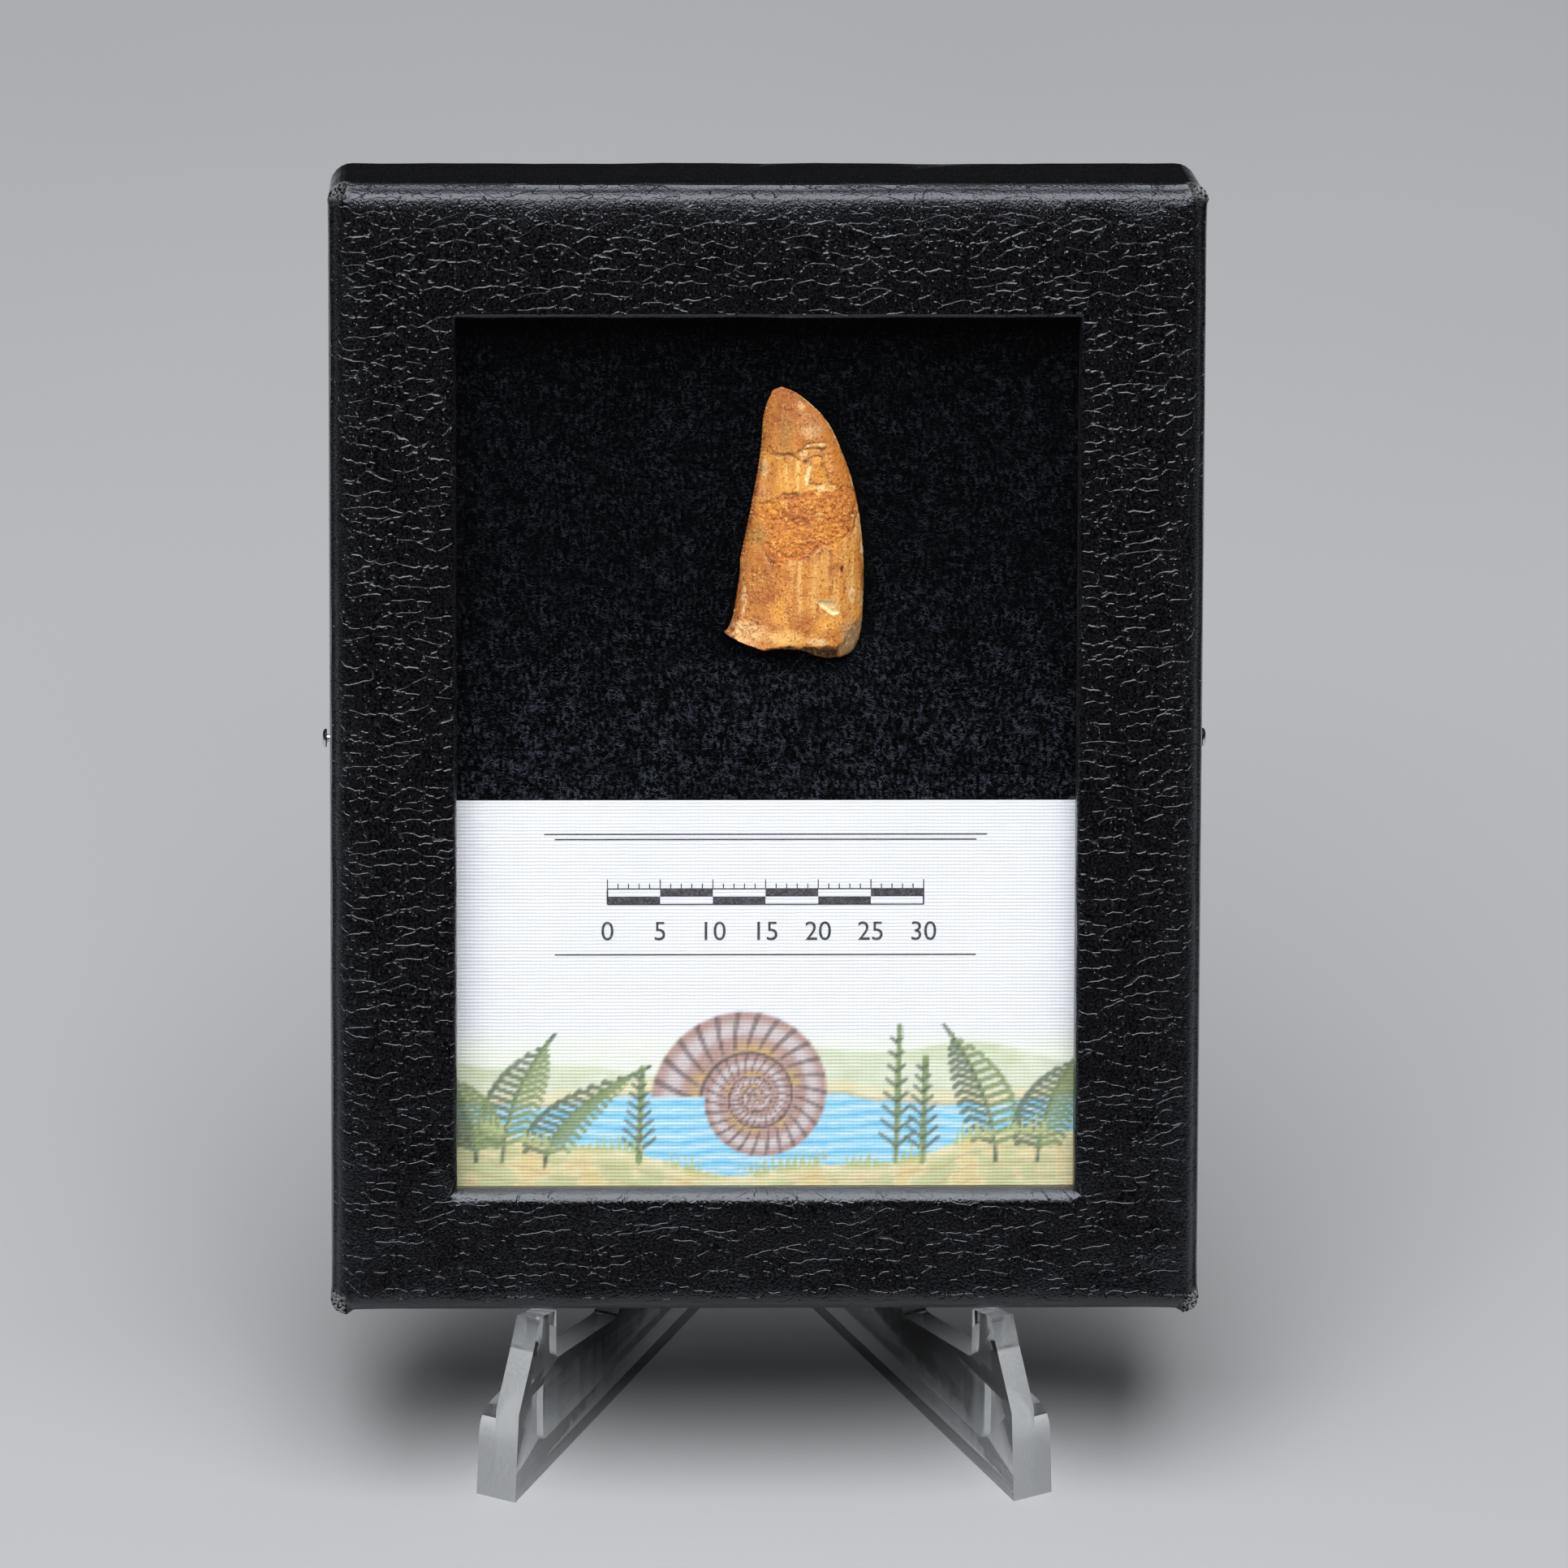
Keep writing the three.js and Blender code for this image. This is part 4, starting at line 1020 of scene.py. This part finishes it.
bm = bmesh.new()
for k in range(SCALE_LENGTH // SCALE_STEP):
    middle_x = SCALE_STEP * (k + 0.5) - SCALE_LENGTH / 2
    row = SCALE_HEIGHT / 4 if k % 2 else -SCALE_HEIGHT / 4
    ink_bar(bm, middle_x, SCALE_Z + row, SCALE_STEP, SCALE_HEIGHT / 2)
for x_end in (-1, 1):
    ink_bar(bm, x_end * SCALE_LENGTH / 2, SCALE_Z, LINE_WIDTHS["end"], SCALE_HEIGHT)
for z_rule in (-1, 1):
    ink_bar(bm, 0, SCALE_Z + z_rule * SCALE_HEIGHT / 2, SCALE_LENGTH, LINE_WIDTHS["edge"])
for k in range(SCALE_LENGTH + 1):
    tick = 0.9 if k % SCALE_STEP == 0 else 0.5
    ink_bar(bm, k - SCALE_LENGTH / 2, SCALE_Z + SCALE_HEIGHT / 2 + tick / 2, LINE_WIDTHS["tick"], tick)
for z_rule, length in RULES:
    ink_bar(bm, 0, z_rule, length, LINE_WIDTHS["rule"])
for k in range(SCALE_LENGTH // SCALE_STEP + 1):
    text = bpy.data.curves.new("number", "FONT")
    text.body = str(k * SCALE_STEP)
    text.size = NUMBER_SIZE
    text.align_x = "CENTER"
    text.extrude = PRINT_LIFT / 4
    holder = added("number", text)
    digits = bpy.data.meshes.new_from_object(holder.evaluated_get(bpy.context.evaluated_depsgraph_get()))
    number_at = (k * SCALE_STEP - SCALE_LENGTH / 2, CARD_FRONT - PRINT_LIFT / 2, SCALE_Z - NUMBERS_BELOW)
    digits.transform(Matrix.Translation(number_at) @ Matrix.Rotation(math.pi / 2, 4, "X"))
    bm.from_mesh(digits)
    bpy.data.objects.remove(holder)
    bpy.data.curves.remove(text)
    bpy.data.meshes.remove(digits)
bmesh.ops.transform(bm, matrix=case_place, verts=bm.verts)
make_piece("label_scale", bm, printed_ink(), crease=20)


# ---- Pane ----
# One flat clear sheet held between the lid's front board and the tray's rim.

PANE_TINT, PANE_SMEAR = (0.975, 0.985, 0.985, 1), (0.955, 0.965, 0.97, 1)
GLASS_IOR = 1.5


def clear_pane():
    finish = Finish("clear_pane", Roughness=0.0, Transmission_Weight=1.0, IOR=GLASS_IOR)
    smear = finish.grain(finish.coordinates(case_place), 0.05, 3.0)
    finish.drive("Base Color", finish.mix(smear.between(0.4, 0.7), PANE_TINT, PANE_SMEAR))
    let_lamps_through(finish, finish.own())
    return finish


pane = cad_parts["glass_pane"]
pane.data.materials.clear()
pane.data.materials.append(clear_pane().material)


# ---- Lid ----
# A board frame wrapped in black leatherette, with rolled edges and corners where the wrap is pinched into
# small ears and its black has rubbed off. The crinkles run across the face.

LID_DEPTH, LID_WALL = 18.2, 1.6
LID_EDGE_RADIUS, LID_CORNER_RADIUS, WINDOW_EDGE_RADIUS, SILL_RADIUS = 3.5, 2.2, 0.6, 1.5
FACE_FALL, FACE_FALL_REACH = 0.45, 8.0  # the padded face falls back towards its outer edges
WINDOW_TOP_LAP = 0.7  # how far the turned-in wrap narrows the window at its top
EAR_REACH, EAR_SPREAD = 0.75, 3.0
LID_CUTS = {"x": (34, -CASE_WIDTH / 2, CASE_WIDTH / 2), "z": (44, 0, CASE_HEIGHT), "y": (6, 2, LID_DEPTH)}
WRAP_BLACK, WRAP_SPECK_AND_GLINT = (0.001, 0.0011, 0.0016, 1), (0.0095, 0.0092, 0.0108, 1)
WRAP_RUBBED, WRAP_SHINE = (0.3, 0.3, 0.31, 1), (0.86, 0.91, 1.0, 1)


def leatherette():
    def folds(vector, width):
        """1 just under the upper borders of random cells, fading to 0 within `width`."""
        cells = {"voronoi_dimensions": "2D", "feature": "DISTANCE_TO_EDGE"}
        edge = finish.node("ShaderNodeTexVoronoi", cells, {"Vector": vector, "Scale": 1.0})
        cells = {"voronoi_dimensions": "2D", "feature": "F1"}
        centre = finish.node("ShaderNodeTexVoronoi", cells, {"Vector": vector, "Scale": 1.0}, "Position")
        rise = finish.node("ShaderNodeVectorMath", {"operation": "SUBTRACT"}, {0: vector, 1: centre})
        above = finish.node("ShaderNodeSeparateXYZ", {}, {0: rise}, "Y")
        return edge.between(width, 0.0) * above.between(-0.02, 0.12)

    finish = Finish("leatherette", Specular_IOR_Level=0.7, Specular_Tint=WRAP_SHINE)
    place = finish.coordinates(case_place)
    across, back, height = (finish.axis(place, axis) for axis in "XYZ")
    up = height - CASE_HEIGHT / 2
    # The wrap laid flat: its pattern runs on round the edges of the lid.
    flat_x = across + (2 * across.between(-1.0, 1.0) - 1) * back
    flat_z = height + (0.9 * up.between(-1.0, 1.0) - 0.45) * back
    sheet = finish.node("ShaderNodeCombineXYZ", {}, {0: flat_x, 1: flat_z})
    wavy = finish.shifted(finish.shifted(sheet, 2.2, 0.22), 0.62, 1.25)
    crinkle = folds(finish.stretched(wavy, (2.9, 1.35, 1)), 0.065)
    crinkle = crinkle * finish.grain(finish.stretched(sheet, (2.6, 1, 1)), 0.8, 0.0).between(0.33, 0.47)
    swell = finish.grain(place, 0.25, 0.0)
    dots = finish.grain(place, 2.3, 0.0).between(0.7, 0.82)
    grit = finish.grain(place, 4.5, 2.0)
    off_x = (CASE_WIDTH / 2 - 0.5) - across.size()
    off_z = (CASE_HEIGHT / 2 - 0.5) - up.size()
    off_y = back - 1.5
    from_corner = (off_x * off_x + off_z * off_z + off_y * off_y).root()
    rubbed = (from_corner + 1.2 * grit).between(2.6, 1.5) * grit.between(0.42, 0.6)
    # The fine grey speckle in the black is partly the grain's own colour and partly painted glints of the
    # grain.
    black = finish.mix(grit.between(0.4, 0.62), WRAP_BLACK, WRAP_SPECK_AND_GLINT)
    finish.drive("Base Color", finish.mix(rubbed, black, WRAP_RUBBED))
    turned = back.between(0.08, 0.6) * back.between(2.6, 1.6)
    on_front = 0.55 + 0.45 * back.between(3.0, 1.0)
    finish.drive("Roughness", 0.09 + 0.12 * grit + 0.16 * turned + 0.3 * rubbed)
    taut = 0.55 + 0.6 * height.between(0.0, 90.0)
    wrinkles = 0.062 * on_front * taut * crinkle
    finish.relief(0.12 * swell - wrinkles - 0.042 * taut * dots + (0.042 + 0.04 * turned) * grit)
    return finish


def outer(place):
    return abs(place.x) > CASE_WIDTH / 2 - 0.01 or abs(place.z - CASE_HEIGHT / 2) > CASE_HEIGHT / 2 - 0.01


def on_window_rim(place):
    aside = abs(abs(place.x) - (CASE_WIDTH / 2 - LID_BORDER)) < 0.01
    return on_face(place) and (aside or abs(place.z - CASE_HEIGHT + LID_BORDER + WINDOW_TOP_LAP) < 0.01)


def on_face(place):
    return abs(place.y) < 0.01


def round_off(edges, radius, segments):
    bmesh.ops.bevel(bm, geom=edges, offset=radius, segments=segments, affect="EDGES", profile=0.5)


def edges_where(test):
    return [edge for edge in bm.edges if all(test(vert.co) for vert in edge.verts)]


bm = bmesh.new()
bmesh.ops.create_cube(bm, size=1)
bmesh.ops.scale(bm, vec=(CASE_WIDTH, LID_DEPTH, CASE_HEIGHT), verts=bm.verts)
bmesh.ops.translate(bm, vec=(0, LID_DEPTH / 2, CASE_HEIGHT / 2), verts=bm.verts)
back = [face for face in bm.faces if face.normal.y > 0.9]
bmesh.ops.delete(bm, geom=back, context="FACES_ONLY")
front_face = [face for face in bm.faces if face.normal.y < -0.9]
bmesh.ops.inset_region(bm, faces=front_face, thickness=LID_BORDER, depth=0, use_even_offset=True)
for vert in bm.verts:
    if abs(vert.co.z - (CASE_HEIGHT - LID_BORDER)) < 0.01:
        vert.co.z -= WINDOW_TOP_LAP
middle = Vector((0, 0, CASE_HEIGHT / 2))
window = [face for face in bm.faces if (face.calc_center_median() - middle).length < 1]
bmesh.ops.delete(bm, geom=window, context="FACES")
bmesh.ops.recalc_face_normals(bm, faces=bm.faces)
bmesh.ops.solidify(bm, geom=bm.faces, thickness=LID_WALL)
for vert in bm.verts:
    if abs(vert.co.y - LID_WALL) < 0.01:
        vert.co.y = LID_BOARD
bmesh.ops.recalc_face_normals(bm, faces=bm.faces)

side_edges = [
    edge for edge in edges_where(lambda place: abs(place.x) > CASE_WIDTH / 2 - 0.01 and outer(place))
    if abs(edge.verts[0].co.y - edge.verts[1].co.y) > 5
]
round_off(side_edges, LID_CORNER_RADIUS, 6)
round_off(edges_where(lambda place: on_face(place) and outer(place)), LID_EDGE_RADIUS, 8)
round_off(edges_where(lambda place: on_face(place) and abs(place.z - LID_BORDER) < 0.01), SILL_RADIUS, 7)
window_rim = [edge for edge in edges_where(on_window_rim) if edge.calc_face_angle(0) > 1]
round_off(window_rim, WINDOW_EDGE_RADIUS, 5)
for axis, (count, start, end) in LID_CUTS.items():
    normal = Vector([float(name == axis) for name in "xyz"])
    for k in range(1, count):
        at = normal * (start + (end - start) * k / count)
        everything = [*bm.verts, *bm.edges, *bm.faces]
        bmesh.ops.bisect_plane(bm, geom=everything, plane_co=at, plane_no=normal, dist=1e-4)

corners = [Vector((side * CASE_WIDTH / 2, 1.2, height)) for side in (-1, 1) for height in (0, CASE_HEIGHT)]
for vert in bm.verts:
    place = vert.co.copy()
    wobble = noise.noise(place / 5) * 0.12 + noise.noise(place / 1.7) * 0.05
    if outer(place) or place.y < 1.5:
        vert.co += vert.normal * (wobble - 0.05)
    from_edge = min(CASE_WIDTH / 2 - abs(place.x), CASE_HEIGHT - place.z)
    if place.y < 1.2:
        vert.co.y += FACE_FALL * max(0, 1 - from_edge / FACE_FALL_REACH) ** 2
    for corner in corners:
        reach = (place - corner).length
        if reach < EAR_SPREAD * 1.6 and place.y < 4.5:
            pull = EAR_REACH * math.exp(-((reach / EAR_SPREAD) ** 2) * 3)
            away = Vector((math.copysign(1, corner.x), -0.25, math.copysign(1, corner.z - CASE_HEIGHT / 2)))
            vert.co += away.normalized() * pull
stand_in_case(bm)
make_piece("lid_wrap", bm, leatherette(), "lid_frame", crease=50)


# ---- Pins ----
# Two bright plated pins with low domed heads, pushed in at half height through the sides of lid and tray.

PIN_SHANK, PIN_THICKNESS, PIN_LENGTH = 0.35, 0.5, 3.4
PIN_DEPTH, PIN_HEIGHT = 9.5, 54
PLATE_DULL, PLATE_BRIGHT = (0.62, 0.63, 0.66, 1), (0.82, 0.82, 0.84, 1)
PIN_OUTLINE = [
    (0, 0), (0.35, 0.02), (0.62, 0.08), (0.82, 0.2), (0.9, 0.36), (0.86, 0.46), (PIN_SHANK, PIN_THICKNESS),
    (PIN_SHANK, PIN_LENGTH), (0, PIN_LENGTH + PIN_SHANK),
]


def bright_plating():
    finish = Finish("bright_plating", Metallic=1.0)
    scratch = finish.grain(finish.coordinates(case_place, (1, 6, 1)), 6.0, 3.0)
    finish.drive("Base Color", finish.mix(scratch, PLATE_DULL, PLATE_BRIGHT))
    finish.drive("Roughness", 0.12 + 0.2 * scratch)
    return finish


plating = bright_plating()
for side, node in ((-1, "pin_left"), (1, "pin_right")):
    bm = bmesh.new()
    path = [bm.verts.new((along, radius, 0)) for radius, along in PIN_OUTLINE]
    strokes = [bm.edges.new(pair) for pair in zip(path, path[1:])]
    bmesh.ops.spin(
        bm, geom=[*path, *strokes], cent=(0, 0, 0), axis=(1, 0, 0), angle=2 * math.pi,
        steps=32, use_merge=True,
    )
    bmesh.ops.remove_doubles(bm, verts=bm.verts, dist=1e-4)
    bmesh.ops.recalc_face_normals(bm, faces=bm.faces)
    head_at = side * (CASE_WIDTH / 2 + GAP + PIN_THICKNESS)
    place = Matrix.Translation((head_at, PIN_DEPTH, PIN_HEIGHT))
    turn = Matrix.Rotation(math.pi if side > 0 else 0, 4, "Z")
    bmesh.ops.transform(bm, matrix=case_place @ place @ turn, verts=bm.verts)
    make_piece(node + "_turned", bm, plating, node)
